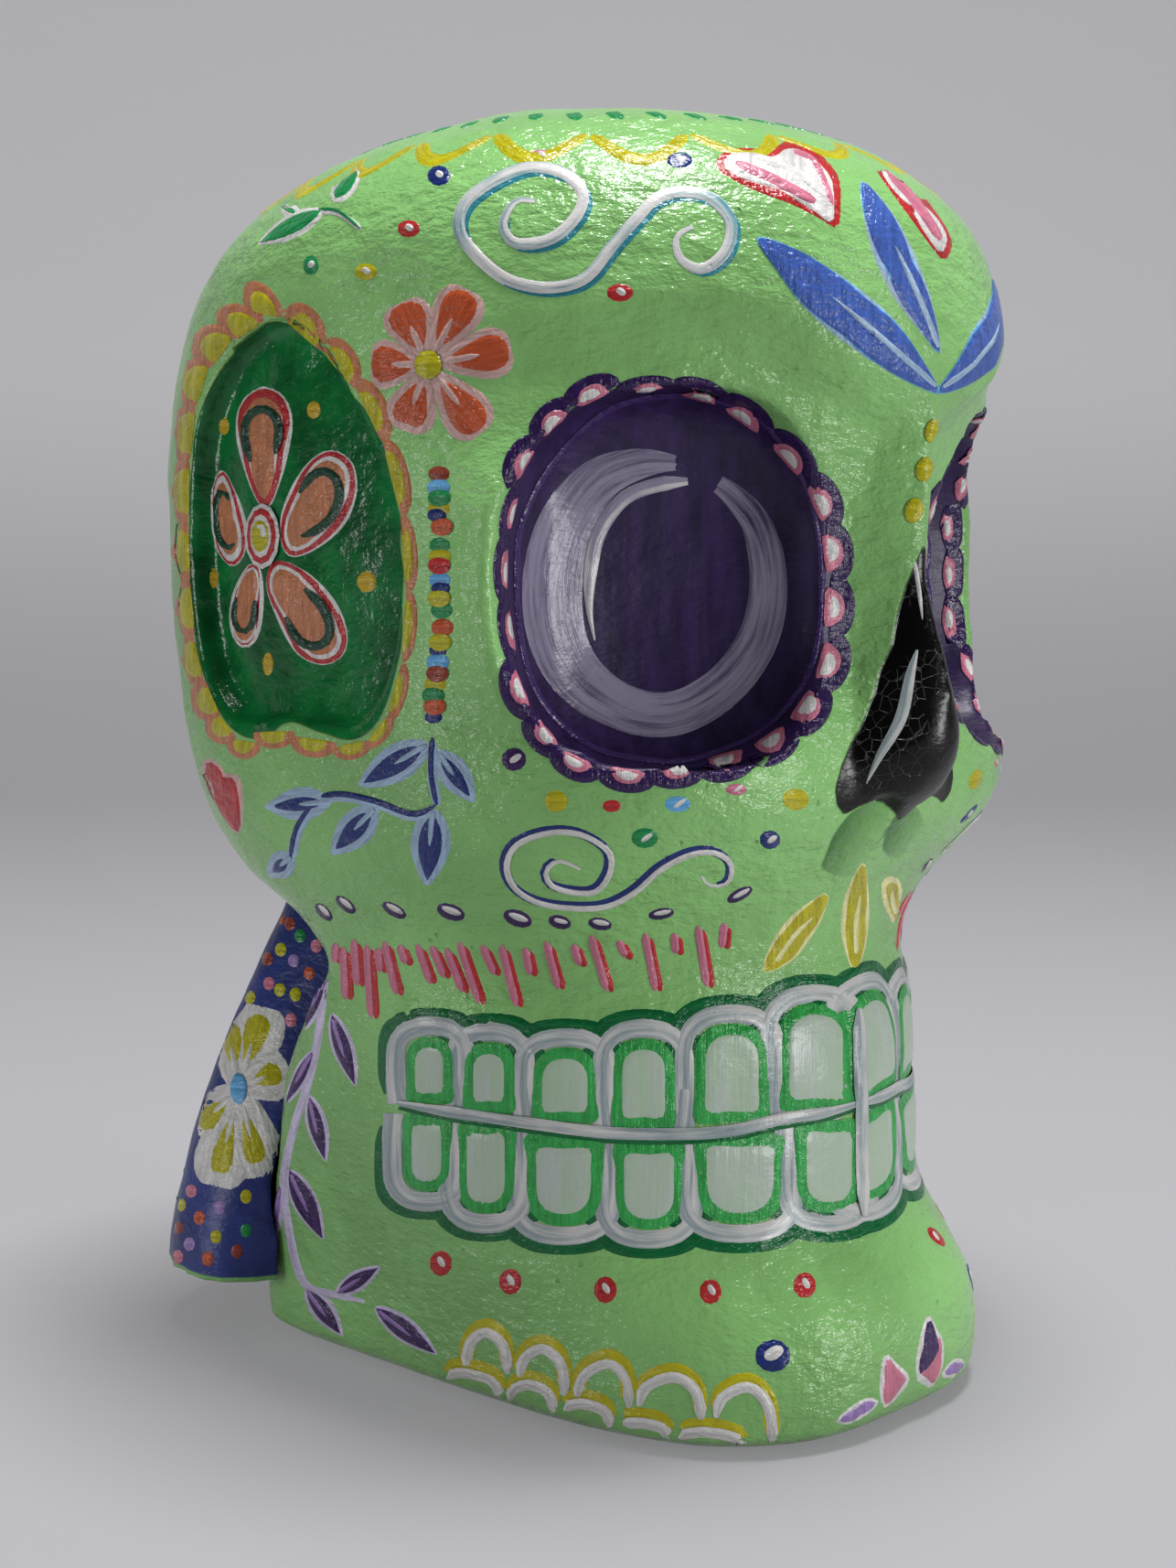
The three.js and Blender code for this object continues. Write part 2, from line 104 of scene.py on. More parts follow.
class PaintPots(bpy.types.PropertyGroup):
    """The paints."""

    base_green: pot("Base green", (116, 163, 97), "Pastel base coat of the head")
    nostril_green: pot("Nostril green", (52, 100, 40), "Shade brushed into the nostrils")
    eye_purple: pot("Eye purple", (40, 23, 66), "Dark purple of the eye sockets")
    rim_purple: pot("Rim purple", (58, 40, 88), "Paler purple along the edge of the sockets")
    ring_lilac: pot("Ring lilac", (128, 122, 142), "Thin white brushed over purple")
    white: pot("White", (186, 184, 182), "White of outlines and highlights")
    pink: pot("Pink", (172, 100, 120), "Pink of scallops, dots and dashes")
    pale_pink: pot("Pale pink", (178, 146, 140), "Pale pink of flower outlines")
    cream: pot("Cream", (196, 192, 140), "Cream of the lip leaves' outlines")
    red: pot("Red", (156, 38, 40), "Red of hearts, dots and flower outlines")
    orange: pot("Orange", (164, 72, 40), "Orange-red of the small flower")
    tan: pot("Tan", (164, 104, 70), "Orange-brown of the temple's petals and scallops")
    yellow: pot("Yellow", (158, 152, 22), "Yellow of dots, leaves and scallops")
    amber: pot("Amber", (168, 140, 30), "Warm yellow of the temple's dots")
    temple_green: pot("Temple green", (8, 88, 40), "Dark green of the temple medallions")
    pine: pot("Pine", (24, 58, 42), "Blackish green of the loops in the petals")
    leaf_green: pot("Leaf green", (24, 118, 64), "Mid green of sprigs, dashes and beads")
    tooth_green: pot("Tooth green", (44, 142, 66), "Bright green inside the teeth's outlines")
    tooth_dark: pot("Tooth dark", (10, 88, 46), "Dark green round the teeth")
    tooth_pale: pot("Tooth pale", (148, 168, 144), "Pale fill of the teeth")
    tooth_white: pot("Tooth white", (164, 168, 170), "Greyed white of the bands round the teeth")
    band_grey: pot("Band grey", (112, 128, 132), "Thin white brushed over green round the teeth")
    teal: pot("Teal", (44, 116, 128), "Teal under the forehead's swirl")
    crest_blue: pot("Crest blue", (56, 82, 150), "Blue of the forehead's leaves")
    sky: pot("Sky", (84, 146, 190), "Light blue of dots and outlines")
    navy: pot("Navy", (24, 40, 96), "Navy of vine leaves, swirls and dots")
    pale_blue: pot("Pale blue", (134, 156, 178), "Pale blue of the vine's outlines")
    violet: pot("Violet", (50, 28, 74), "Dark violet of the jaw's vine")
    lilac: pot("Lilac", (132, 106, 160), "Lilac of the jaw's vine")
    pale_lilac: pot("Pale lilac", (176, 168, 192), "Pale lilac of the vine's outlines")
    black: pot("Black", (9, 9, 10), "Black of the nose")
    brown: pot("Brown", (124, 52, 38), "Brown-red of beads and dots")
    neck_blue: pot("Neck blue", (30, 44, 104), "Dark blue of the neck")
    bare_paper: pot("Bare paper", (150, 132, 104), "Brown paper of the strips inside")


class StudioSettings(bpy.types.PropertyGroup):
    """Camera and light."""

    place: FloatVectorProperty(
        name="Camera place", description="Where the camera stands", subtype="TRANSLATION", unit="LENGTH",
        default=(-371 * MM, -344.49 * MM, 169 * MM),
    )
    azimuth: FloatProperty(
        name="Azimuth", description="Turn of the camera round the skull", subtype="ANGLE",
        default=math.radians(-47),
    )
    pitch: FloatProperty(
        name="Pitch", description="How far the camera looks down", subtype="ANGLE", default=math.radians(5)
    )
    focal: FloatProperty(name="Focal length", description="In pixels of the photograph", default=2480)
    top_power: FloatProperty(name="Top light", description="Power of the overhead softbox", default=21.5)
    key_power: FloatProperty(name="Key light", description="Power of the softbox on the left", default=5)
    side_power: FloatProperty(name="Side light", description="Power of the softbox on the face's side", default=8.5)
    ambient: FloatProperty(name="Ambient", description="Strength of the even light all round", default=0.37)
    gleam: FloatProperty(name="Gleam", description="Share of the even light that the varnish mirrors", default=0.06)
    glow: FloatProperty(name="Glow", description="Share of its own shade that the backdrop shows", default=0.5)
    floor: pot("Floor", (169, 168, 172), "Pale floor")
    wall: pot("Wall", (214, 213, 216), "Pale backdrop")
    haze: pot("Haze", (190, 189, 192), "Shade that the backdrop keeps in shadow")
    mist: pot("Mist", (166, 165, 168), "Shade that the floor keeps in shadow")


# Lines of sight and surfaces

def camera_matrix():
    """Place and turn of the photograph's camera."""
    studio = bpy.context.scene.skull_studio
    turn = Matrix.Rotation(studio.azimuth, 4, "Z") @ Matrix.Rotation(math.pi / 2 - studio.pitch, 4, "X")
    return Matrix.Translation(studio.place) @ turn


class Canvas:
    """A surface that a brush reaches through flat coordinates."""

    unit = PIXEL
    STEP = 20 * MM  # between the places tried along a line that misses the surface
    STEPS = 45
    FACING = 0.22  # how squarely a surface has to face the brush to take the edge of a touch
    PULL = 0.12  # share by which a point is drawn in to the heart of its touch
    PULLS = 8

    def __init__(self, piece):
        self.tree = BVHTree.FromObject(bpy.data.objects[piece], bpy.context.evaluated_depsgraph_get())

    def line(self, u, v):
        """Start and direction of the line to the surface."""
        raise NotImplementedError

    def meet(self, u, v):
        """Where the line meets the surface, and the surface's normal there."""
        start, way = self.line(u, v)
        point, normal, _, _ = self.tree.ray_cast(start, way)
        if point is None:
            tries = [self.tree.find_nearest(start + way * step * self.STEP) for step in range(1, self.STEPS)]
            point, normal, _, _ = min(tries, key=lambda found: found[3])
        return point, normal

    def far(self, point):
        """How far away the surface is at a point."""
        return (self.meet(*point)[0] - self.line(*point)[0]).length

    def reach(self, point, heart, limit):
        """Meets the surface, drawing the point in to the heart of its touch where the surface turns away."""
        for _ in range(self.PULLS):
            start, way = self.line(*point)
            place, normal, _, distance = self.tree.ray_cast(start, way)
            if place is not None and normal.dot(way) < -self.FACING and distance < limit:
                break
            point = point.lerp(heart, self.PULL)
        return self.meet(*point)


class PhotoCanvas(Canvas):
    """Coordinates are pixels of the photograph."""

    def __init__(self, piece):
        super().__init__(piece)
        self.camera = camera_matrix()
        self.turn = self.camera.to_3x3()
        self.focal = bpy.context.scene.skull_studio.focal

    def line(self, u, v):
        way = Vector(((u - PHOTO_WIDTH / 2) / self.focal, (PHOTO_HEIGHT / 2 - v) / self.focal, -1))
        return self.camera.translation, (self.turn @ way).normalized()

    def see(self, points):
        """Pixels and distances ahead of the camera of an array of points."""
        local = (points - np.array(self.camera.translation)) @ np.array(self.turn)
        ahead = -local[:, 2]
        u = PHOTO_WIDTH / 2 + self.focal * local[:, 0] / ahead
        v = PHOTO_HEIGHT / 2 - self.focal * local[:, 1] / ahead
        return u, v, ahead


class PlanCanvas(Canvas):
    """Coordinates are millimetres seen from above."""

    unit = MM

    def line(self, u, v):
        return Vector((u * MM, v * MM, 1)), Vector((0, 0, -1))


class BackCanvas(Canvas):
    """Coordinates are millimetres across and up, seen from behind."""

    unit = MM

    def line(self, u, v):
        return Vector((u * MM, 1, v * MM)), Vector((0, -1, 0))


class SocketCanvas(Canvas):
    """Coordinates are millimetres across and up, seen straight into the near eye socket."""

    unit = MM
    ACROSS = Vector((math.cos(SOCKET_TURN), -math.sin(SOCKET_TURN), 0))
    OUTWARD = Vector((-math.sin(SOCKET_TURN), -math.cos(SOCKET_TURN), 0))
    SEARCH = 5  # millimetres over which the skin beside the socket is looked for
    STRIDES = 10
    SUNK = 2.5 * MM  # how much deeper than that skin a place beside the socket may lie

    def line(self, u, v):
        return self.ACROSS * u * MM + Vector((0, 0, v * MM)) + self.OUTWARD * 0.3, -self.OUTWARD

    def flat(self, place):
        """Coordinates of a place on the skull."""
        return Vector((place.dot(self.ACROSS) / MM, place.z / MM))

    def level(self, at):
        """How far out the surface lies."""
        return self.meet(*at)[0].dot(self.OUTWARD)

    def beside(self, at, out):
        """The nearest place outwards that is on the skin outside of the socket."""
        outside = self.level(at + out * self.SEARCH)
        for _ in range(self.STRIDES):
            if self.level(at) > outside - self.SUNK:
                break
            at = at + out * (self.SEARCH / self.STRIDES)
        return at


class Route:
    """A smooth path through flat points, measured by its length."""

    STEPS = 10  # between two of the points

    def __init__(self, points, closed=False):
        knots = [Vector(p) for p in points]
        count = len(knots)
        spans = count if closed else count - 1
        pick = (lambda i: knots[i % count]) if closed else (lambda i: knots[max(0, min(i, count - 1))])
        self.dots = []
        for span in range(spans):
            a, b, c, d = (pick(span + step) for step in (-1, 0, 1, 2))
            for step in range(self.STEPS):
                t = step / self.STEPS
                self.dots.append(
                    0.5 * (2 * b + (c - a) * t + (2 * a - 5 * b + 4 * c - d) * t**2
                           + (3 * b - a - 3 * c + d) * t**3)
                )
        self.dots.append(pick(spans))
        self.marks = [0.0]
        for a, b in zip(self.dots, self.dots[1:]):
            self.marks.append(self.marks[-1] + (b - a).length)
        self.length = self.marks[-1]
        self.closed = closed

    def at(self, share):
        """Point and left-hand normal at a share of the length."""
        goal = share * self.length
        i = int(np.searchsorted(self.marks, goal, side="right")) - 1
        i = max(0, min(i, len(self.dots) - 2))
        step = self.marks[i + 1] - self.marks[i]
        point = self.dots[i].lerp(self.dots[i + 1], (goal - self.marks[i]) / step if step else 0)
        before = self.dots[i - 1] if i or self.closed else self.dots[0]
        if i == 0 and self.closed:
            before = self.dots[-2]
        after = self.dots[min(i + 2, len(self.dots) - 1)]
        if i + 2 >= len(self.dots) and self.closed:
            after = self.dots[1]
        way = (after - before).normalized()
        return point, Vector((-way.y, way.x))


# Half-width of a touch along its length, as a share of the widest

def round_end(t):
    return math.sqrt(max(0, 1 - (2 * t - 1) ** 2))


def leaf_end(t):
    return math.sin(math.pi * t**0.85) ** 0.9


def petal_end(t):
    return min(1, 0.3 + 1.1 * t) * math.sqrt(max(0, 1 - (2 * t - 1) ** 4)) ** 0.9


def brush_end(t):
    return min(1, 6 * t + 0.35, 6 * (1 - t) + 0.35)


def tail_end(t):
    return min(1, 5 * t + 0.5) * min(1, 2.6 * (1 - t) + 0.12)


def even_end(t):
    return 1


class Paint:
    """Brush touches that dry into one thin raised layer."""

    GRAIN = 8  # pixels of the photograph between the rows of a touch
    SHORT = 16  # grains up to which an open touch is drawn in where the surface turns away
    BEHIND = 8 * MM  # how far behind its heart the edge of such a touch may lie
    STAGGER = 0.07  # share of a coat by which touches that follow each other differ
    TURNS = 7  # touches after which the stagger starts again
    TEAR = 1.5 * MM  # least length of a torn edge
    STRETCH = 6  # times that an edge is stretched when it is torn
    WELD = 0.02 * MM  # distance within which vertices of a touch are joined

    def __init__(self, name, canvas, slot):
        self.name = name
        self.canvas = canvas
        self.slot = slot
        self.bm = bmesh.new()
        self.uv = self.bm.loops.layers.uv.new("brush")
        self.pots = []
        self.laid = 0
        self.shape = bpy.context.scene.skull_shape

    def touch(self, pot_name, path, width, end=brush_end, coat=0, closed=False):
        """A stroke along a path: width is half of its breadth in canvas units."""
        route = Route(path, closed)
        grain = self.GRAIN * PIXEL / self.canvas.unit
        rows = max(6, min(150, math.ceil(route.length / grain)))
        lanes = 2 * max(2, min(12, math.ceil(width / grain)))
        ease = end in (round_end, petal_end)

        def spot(t, s):
            if ease:
                t = 0.5 - 0.5 * math.cos(math.pi * t)
            point, side = route.at(t)
            across = math.copysign(1 - (1 - abs(s)) ** 1.4, s)
            half = width * end(t)
            free = 1 if closed else min(1, 8 * t, 8 * (1 - t))
            return point + side * half * across, t * route.length, half * across, min(free, 4 * (1 - abs(s)))

        short = route.length < self.SHORT * grain and not closed
        self.lay(pot_name, spot, rows, lanes, coat, route.at(0.5)[0] if short else None, route.length / 2)

    def patch(self, pot_name, outline, coat=0, shrink=0):
        """A filled shape round its middle, its outline drawn in by shrink canvas units."""
        route = Route(outline, True)
        grain = self.GRAIN * PIXEL / self.canvas.unit
        middle = sum((Vector(p) for p in outline), Vector((0, 0))) / len(outline)
        reach = max((Vector(p) - middle).length for p in outline)
        rows = max(12, min(90, math.ceil(route.length / grain)))
        lanes = max(2, min(12, math.ceil(reach / grain)))

        def spot(t, s):
            share = 1 - (0.5 + 0.5 * s) ** 2
            arm = route.at(t % 1)[0] - middle
            arm *= max(0, arm.length - shrink) / max(arm.length, 1e-6)
            point = middle + arm * share
            return point, point.y, point.x, min(1, 6 * (1 - share))

        self.lay(pot_name, spot, rows, lanes, coat, middle, reach)

    def lay(self, pot_name, spot, rows, lanes, coat, heart, span):
        """Lays a grid of paint with a sunk edge; heart is the middle of a short touch and span its reach."""
        if pot_name not in self.pots:
            self.pots.append(pot_name)
        made = bmesh.ops.create_grid(self.bm, x_segments=rows, y_segments=lanes, size=1)["verts"]
        self.laid += 1
        stagger = self.shape.paint_body * self.STAGGER * (self.laid % self.TURNS)
        limit = self.canvas.far(heart) + span * self.canvas.unit + self.BEHIND if heart else 0
        flat = {}
        facing = Vector()
        for vert in made:
            t = vert.co.x / 2 + 0.5
            point, along, across, body = spot(t, vert.co.y)
            place, normal = self.canvas.reach(point, heart, limit) if heart else self.canvas.meet(*point)
            lift = stagger + self.shape.paint_body * (coat + body) - self.shape.paint_edge * (1 - body)
            flat[vert] = (along * self.canvas.unit, across * self.canvas.unit)
            vert.co = place + normal * lift
            vert.normal = normal
            facing += normal
        faces = list({face for vert in made for face in vert.link_faces})
        index = self.pots.index(pot_name)
        for face in faces:
            face.smooth = True
            face.material_index = index
            for loop in face.loops:
                loop[self.uv].uv = flat[loop.vert]
        torn = [face for face in faces if any(self.tears(edge, flat) for edge in face.edges)]
        bmesh.ops.delete(self.bm, geom=torn, context="FACES")
        made = [vert for vert in made if vert.is_valid]
        bmesh.ops.remove_doubles(self.bm, verts=made, dist=self.WELD)
        faces = [face for face in faces if face.is_valid]
        turned = Vector()
        for face in faces:
            face.normal_update()
            turned += face.normal * face.calc_area()
        if turned.dot(facing) < 0:
            bmesh.ops.reverse_faces(self.bm, faces=faces)

    def tears(self, edge, flat):
        """Whether an edge of the paint leaps from one surface to another behind it."""
        a, b = (Vector(flat[vert]) for vert in edge.verts)
        return edge.calc_length() > max(self.TEAR, self.STRETCH * (a - b).length)

    def dot(self, pot_name, at, wide, high=None, turn=0, coat=0):
        """A round or oval touch; turn is in degrees."""
        way = Vector((math.cos(math.radians(turn)), math.sin(math.radians(turn)))) * wide
        at = Vector(at)
        self.touch(pot_name, (at - way, at, at + way), high or wide, round_end, coat)

    def layers(self, outline, *coats):
        """Filled shapes over each other, each with its paint and how far its outline is drawn in."""
        for coat, (pot_name, shrink) in enumerate(coats):
            self.patch(pot_name, outline, coat, shrink)

    def leaf(self, pot_name, base, tip, width, coat=0, grow=0, end=leaf_end):
        """A leaf or petal from its base to its tip, grown all round by some canvas units."""
        base, tip = Vector(base), Vector(tip)
        way = (tip - base).normalized() * grow
        self.touch(pot_name, (base - way, (base + tip) / 2, tip + way), width + grow, end, coat)

    def vein(self, pot_name, base, tip, start, stop, width, coat):
        """A thin stroke along a leaf, between two shares of its length."""
        base = Vector(base)
        way = Vector(tip) - base
        self.touch(pot_name, (base + way * start, base + way * stop), width, tail_end, coat)

    def mirror(self):
        """Copies all that is painted so far to the skull's other side."""
        copy = bmesh.ops.duplicate(self.bm, geom=self.bm.verts[:] + self.bm.edges[:] + self.bm.faces[:])["geom"]
        verts = [item for item in copy if isinstance(item, bmesh.types.BMVert)]
        bmesh.ops.scale(self.bm, vec=(-1, 1, 1), verts=verts)
        bmesh.ops.reverse_faces(self.bm, faces=[f for f in copy if isinstance(f, bmesh.types.BMFace)])

    def dry(self):
        """Makes the touches a piece that rides on the skull."""
        if not self.bm.faces:
            raise RuntimeError(f"{self.name}: nothing was painted")
        mesh = bpy.data.meshes.new(self.name)
        self.bm.to_mesh(mesh)
        self.bm.free()
        for pot_name in self.pots:
            mesh.materials.append(brushed_finish(pot_name))
        return ride(self.name, mesh)


def head_paint(name):
    """Paint for the head, laid through the photograph."""
    return Paint(name, PhotoCanvas(HEAD_SKIN), "painted_head")


def ride(name, mesh):
    """A piece made of a mesh, riding on the skull."""
    piece = bpy.data.objects.new(name, mesh)
    bpy.context.scene.collection.objects.link(piece)
    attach(piece, "root")
    return piece


# Shader maths

class Value:
    """A shader socket that takes part in sums."""

    def __init__(self, finish, socket):
        self.finish = finish
        self.socket = socket

    def math(self, operation, a, b=0.0):
        return self.finish.add("ShaderNodeMath", {"operation": operation}, {0: a, 1: b})

    def __add__(self, other):
        return self.math("ADD", self, other)

    def __radd__(self, other):
        return self.math("ADD", other, self)

    def __sub__(self, other):
        return self.math("SUBTRACT", self, other)

    def __rsub__(self, other):
        return self.math("SUBTRACT", other, self)

    def __mul__(self, other):
        return self.math("MULTIPLY", self, other)

    def __rmul__(self, other):
        return self.math("MULTIPLY", other, self)

    def clear_of(self, low, high):
        """0 below low, 1 above high and smooth between them."""
        return self.finish.add(
            "ShaderNodeMapRange", {"interpolation_type": "SMOOTHSTEP"},
            {"Value": self, "From Min": low, "From Max": high},
        )


class Finish:
    """The nodes of a material or world."""

    def __init__(self, owner):
        self.owner = owner
        owner.use_nodes = True
        self.tree = owner.node_tree
        self.tree.nodes.clear()

    def add(self, kind, settings=None, sockets=None, out=0):
        """Adds a node: its settings first, then its sockets' values or links."""
        node = self.tree.nodes.new(kind)
        for key, value in (settings or {}).items():
            setattr(node, key, value)
        for key, value in (sockets or {}).items():
            if isinstance(value, Value):
                self.tree.links.new(value.socket, node.inputs[key])
            else:
                node.inputs[key].default_value = value
        return Value(self, node.outputs[out]) if node.outputs else None

    def mix(self, a, b, factor, blend="MIX"):
        """Mixes two colours."""
        return self.add(
            "ShaderNodeMix", {"data_type": "RGBA", "blend_type": blend}, {0: factor, 6: a, 7: b}, out=2
        )

    def noise(self, where, scale, detail=2.0, roughness=0.5, stretch=None):
        """Cloudy noise from 0 to 1."""
        if stretch:
            where = self.add("ShaderNodeMapping", {}, {"Vector": where, "Scale": stretch})
        return self.add(
            "ShaderNodeTexNoise", {}, {"Vector": where, "Scale": scale, "Detail": detail, "Roughness": roughness}
        )

    def bump(self, height, distance, strength):
        """A normal bent by a height."""
        return self.add("ShaderNodeBump", {}, {"Height": height, "Distance": distance, "Strength": strength})

    def shade(self, colour, roughness, normal, coat=0.03, coat_roughness=0.1, specular=0.28):
        """Ends the material in a varnished surface."""
        shader = self.add(
            "ShaderNodeBsdfPrincipled", {},
            {
                "Base Color": colour, "Roughness": roughness, "Normal": normal, "Coat Weight": coat,
                "Coat Roughness": coat_roughness, "Specular IOR Level": specular,
            },
        )
        self.add("ShaderNodeOutputMaterial", {}, {"Surface": shader})
        return self.owner


def new_finish(name):
    """The nodes of a new material, and its object coordinates."""
    finish = Finish(bpy.data.materials.new(name))
    return finish, finish.add("ShaderNodeTexCoord", out=3)


def shade_of(pot_name, gain=1.0):
    """A paint's colour with alpha, lightened or darkened."""
    colour = getattr(bpy.context.scene.skull_pots, pot_name)
    return [min(1, c * gain) for c in colour] + [1.0]


def paper_relief(finish, where):
    """Height of pasted and brushed paper: wrinkles, brush hairs and pinholes."""
    wrinkles = finish.noise(where, 260, 4, 0.62, (0.55, 0.55, 1))
    crepe = finish.noise(where, 640, 2, 0.5, (0.6, 0.6, 1))
    hairs = finish.noise(where, 420, 2, 0.5, (1, 1, 0.22))
    holes = finish.add("ShaderNodeTexVoronoi", {}, {"Vector": where, "Scale": 210})
    pits = 1 - holes.clear_of(0.02, 0.14)
    rare = finish.noise(where, 30, 1).clear_of(0.56, 0.64)
    return wrinkles + crepe * 0.3 + hairs * 0.2 - pits * rare * 0.4


def base_colour(finish, where):
    """Base coat, unevenly brushed over paper."""
    cloud = finish.noise(where, 16, 3, 0.55)
    brush = finish.noise(where, 130, 3, 0.6, (1, 1, 0.3))
    pale = finish.mix(shade_of("base_green", 0.84), shade_of("base_green", 1.16), cloud.clear_of(0.3, 0.7))
    return finish.mix(pale, shade_of("base_green", 1.3), brush.clear_of(0.5, 0.8) * 0.3)


def paint_finish(pot_name):
    """A varnished paint with the streaks of a small brush."""
    finish, where = new_finish("paint_" + pot_name)
    brush = finish.add("ShaderNodeUVMap", {"uv_map": "brush"})
    streaks = finish.noise(brush, 900, 3, 0.65, (0.12, 1, 1))
    cloud = finish.noise(where, 90, 2)
    colour = finish.mix(shade_of(pot_name, 0.78), shade_of(pot_name, 1.2), streaks.clear_of(0.3, 0.7))
    colour = finish.mix(colour, shade_of(pot_name, 0.85), cloud.clear_of(0.5, 0.75) * 0.5)
    height = paper_relief(finish, where) + streaks * 0.5
    normal = finish.bump(height, 1.4 * MM, 0.8)
    return finish.shade(colour, 0.12 + cloud * 0.14, normal)


def dry_finish(name, under, over, low, high):
    """A nearly dry brush: streaks of one paint through which another shows."""
    finish, where = new_finish(name)
    brush = finish.add("ShaderNodeUVMap", {"uv_map": "brush"})
    streaks = finish.noise(brush, 700, 4, 0.7, (0.05, 1, 1))
    patches = finish.noise(brush, 120, 2, 0.5, (0.4, 1, 1))
    cover = (streaks * 0.7 + patches * 0.3).clear_of(low, high)
    colour = finish.mix(shade_of(under), shade_of(over), cover)
    normal = finish.bump(paper_relief(finish, where) + streaks * 0.6, 0.6 * MM, 0.5)
    return finish.shade(colour, 0.3 - cover * 0.08, normal)


# Dry touches: the paint below, the paint above, and the streak heights between which it covers
DRY_TOUCHES = {
    "ring": ("eye_purple", "ring_lilac", 0.3, 0.58),
    "ring_edge": ("ring_lilac", "white", 0.46, 0.62),
    "swirl": ("teal", "white", 0.32, 0.56),
    "tooth_band": ("band_grey", "white", 0.38, 0.66),
    "tooth_fill": ("tooth_pale", "tooth_white", 0.4, 0.75),
}


def brushed_finish(name):
    """The finish of a touch, made once: a full brush, or a nearly dry one."""
    known = bpy.data.materials.get(name if name in DRY_TOUCHES else "paint_" + name)
    if known:
        return known
    return dry_finish(name, *DRY_TOUCHES[name]) if name in DRY_TOUCHES else paint_finish(name)


def head_finish():
    """Base coat, with the purple sockets, the green medallions and the black nose painted in."""
    finish, where = new_finish("painted_head")

    def stored(name):
        return finish.add("ShaderNodeAttribute", {"attribute_name": name}, out=2)

    def mask(name, soft=0.25):
        return stored(name).clear_of(-soft, soft)

    nostril = mask("nostril", 0.3) * stored("nostril_shade")
    colour = finish.mix(base_colour(finish, where), shade_of("nostril_green"), nostril)

    hairs = finish.noise(where, 260, 3, 0.65, (1, 1, 0.12))
    purple = finish.mix(shade_of("eye_purple", 0.62), shade_of("eye_purple", 1.35), hairs.clear_of(0.3, 0.72))
    eye = mask("eye_paint")
    colour = finish.mix(colour, purple, eye)

    marble = finish.noise(where, 75, 5, 0.6)
    green = finish.mix(shade_of("temple_green", 0.6), shade_of("temple_green", 1.55), marble.clear_of(0.3, 0.72))
    temple = mask("temple_paint")
    colour = finish.mix(colour, green, temple)

    cracks = finish.add(
        "ShaderNodeTexVoronoi", {"feature": "DISTANCE_TO_EDGE"}, {"Vector": where, "Scale": 430}
    )
    kept = finish.noise(where, 120, 2).clear_of(0.42, 0.6)
    crack = (1 - cracks.clear_of(0.01, 0.04)) * kept
    black = finish.mix(shade_of("black", 0.4), [0.05, 0.05, 0.05, 1], crack * 0.8)
    nose = mask("nose_paint")
    colour = finish.mix(colour, black, nose)

    relief = paper_relief(finish, where) * (1 - eye * 0.75 - temple * 0.6 - nose * 0.8)
    normal = finish.bump(relief - crack * nose * 0.25, 1.5 * MM, 0.9)
    matt = eye * 0.25 + nose * 0.1
    cloud = finish.noise(where, 40, 2)
    return finish.shade(colour, 0.11 + cloud * 0.14 + matt, normal)


def neck_finish():
    """Dark blue coat of the neck, light green along its lower lip."""
    finish, where = new_finish("painted_neck")
    height = finish.add("ShaderNodeSeparateXYZ", {}, {0: where}, out=2)
    cloud = finish.noise(where, 60, 3)
    blue = finish.mix(shade_of("neck_blue", 0.75), shade_of("neck_blue", 1.25), cloud.clear_of(0.3, 0.7))
    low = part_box("neck_right_half")[0].z
    ragged = height + cloud * 0.8 * MM
    lip = 1 - ragged.clear_of(low + 1.6 * MM, low + 2.2 * MM)
    colour = finish.mix(blue, base_colour(finish, where), lip)
    normal = finish.bump(paper_relief(finish, where), 0.8 * MM, 0.7)
    return finish.shade(colour, 0.3 + cloud * 0.15, normal)


def strip_finish():
    """Matt pasted paper with fibres."""
    finish, where = new_finish("bare_paper")
    fibres = finish.noise(where, 500, 4, 0.7, (1, 0.15, 1))
    cloud = finish.noise(where, 70, 3)
    colour = finish.mix(shade_of("bare_paper", 0.8), shade_of("bare_paper", 1.15), fibres.clear_of(0.3, 0.7))
    colour = finish.mix(colour, shade_of("bare_paper", 0.65), cloud.clear_of(0.55, 0.75))
    normal = finish.bump(fibres + cloud, 0.3 * MM, 0.6)
    return finish.shade(colour, 0.8 + cloud * 0.1, normal, coat=0.0)


# The paper skin

SMOOTH_FIRST, SMOOTH_LAST, SMOOTH_SCULPTED = 3, 2, 4  # passes over the whole skin, and over what is sculpted
FLAT_FOOT = 4 * MM  # height over which the lumps start, so that the underside stays flat


def welded_copy(nodes):
    """One closed body from copies of mirrored halves, with the glue line between them closed."""
    bm = bmesh.new()
    for node in nodes:
        bm.from_mesh(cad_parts[node].data)
    bmesh.ops.remove_doubles(bm, verts=bm.verts, dist=0.001 * MM)
    seam = [v for v in bm.verts if abs(v.co.x) < 0.2 * MM]
    for vert in seam:
        vert.co.x = 0
    bmesh.ops.remove_doubles(bm, verts=seam, dist=0.02 * MM)
    glued = [f for f in bm.faces if all(v.co.x == 0 for v in f.verts)]
    bmesh.ops.delete(bm, geom=glued, context="FACES")
    return bm


def keep_outside(bm):
    """Deletes every island of the mesh but the largest."""
    left = set(bm.faces)
    islands = []
    while left:
        stack = [left.pop()]
        island = []
        while stack:
            face = stack.pop()
            island.append(face)
            near = {other for edge in face.edges for other in edge.link_faces} & left
            left -= near
            stack.extend(near)
        islands.append(island)
    largest = max(islands, key=lambda island: sum(face.calc_area() for face in island))
    drop = [face for island in islands if island is not largest for face in island]
    bmesh.ops.delete(bm, geom=drop, context="FACES")


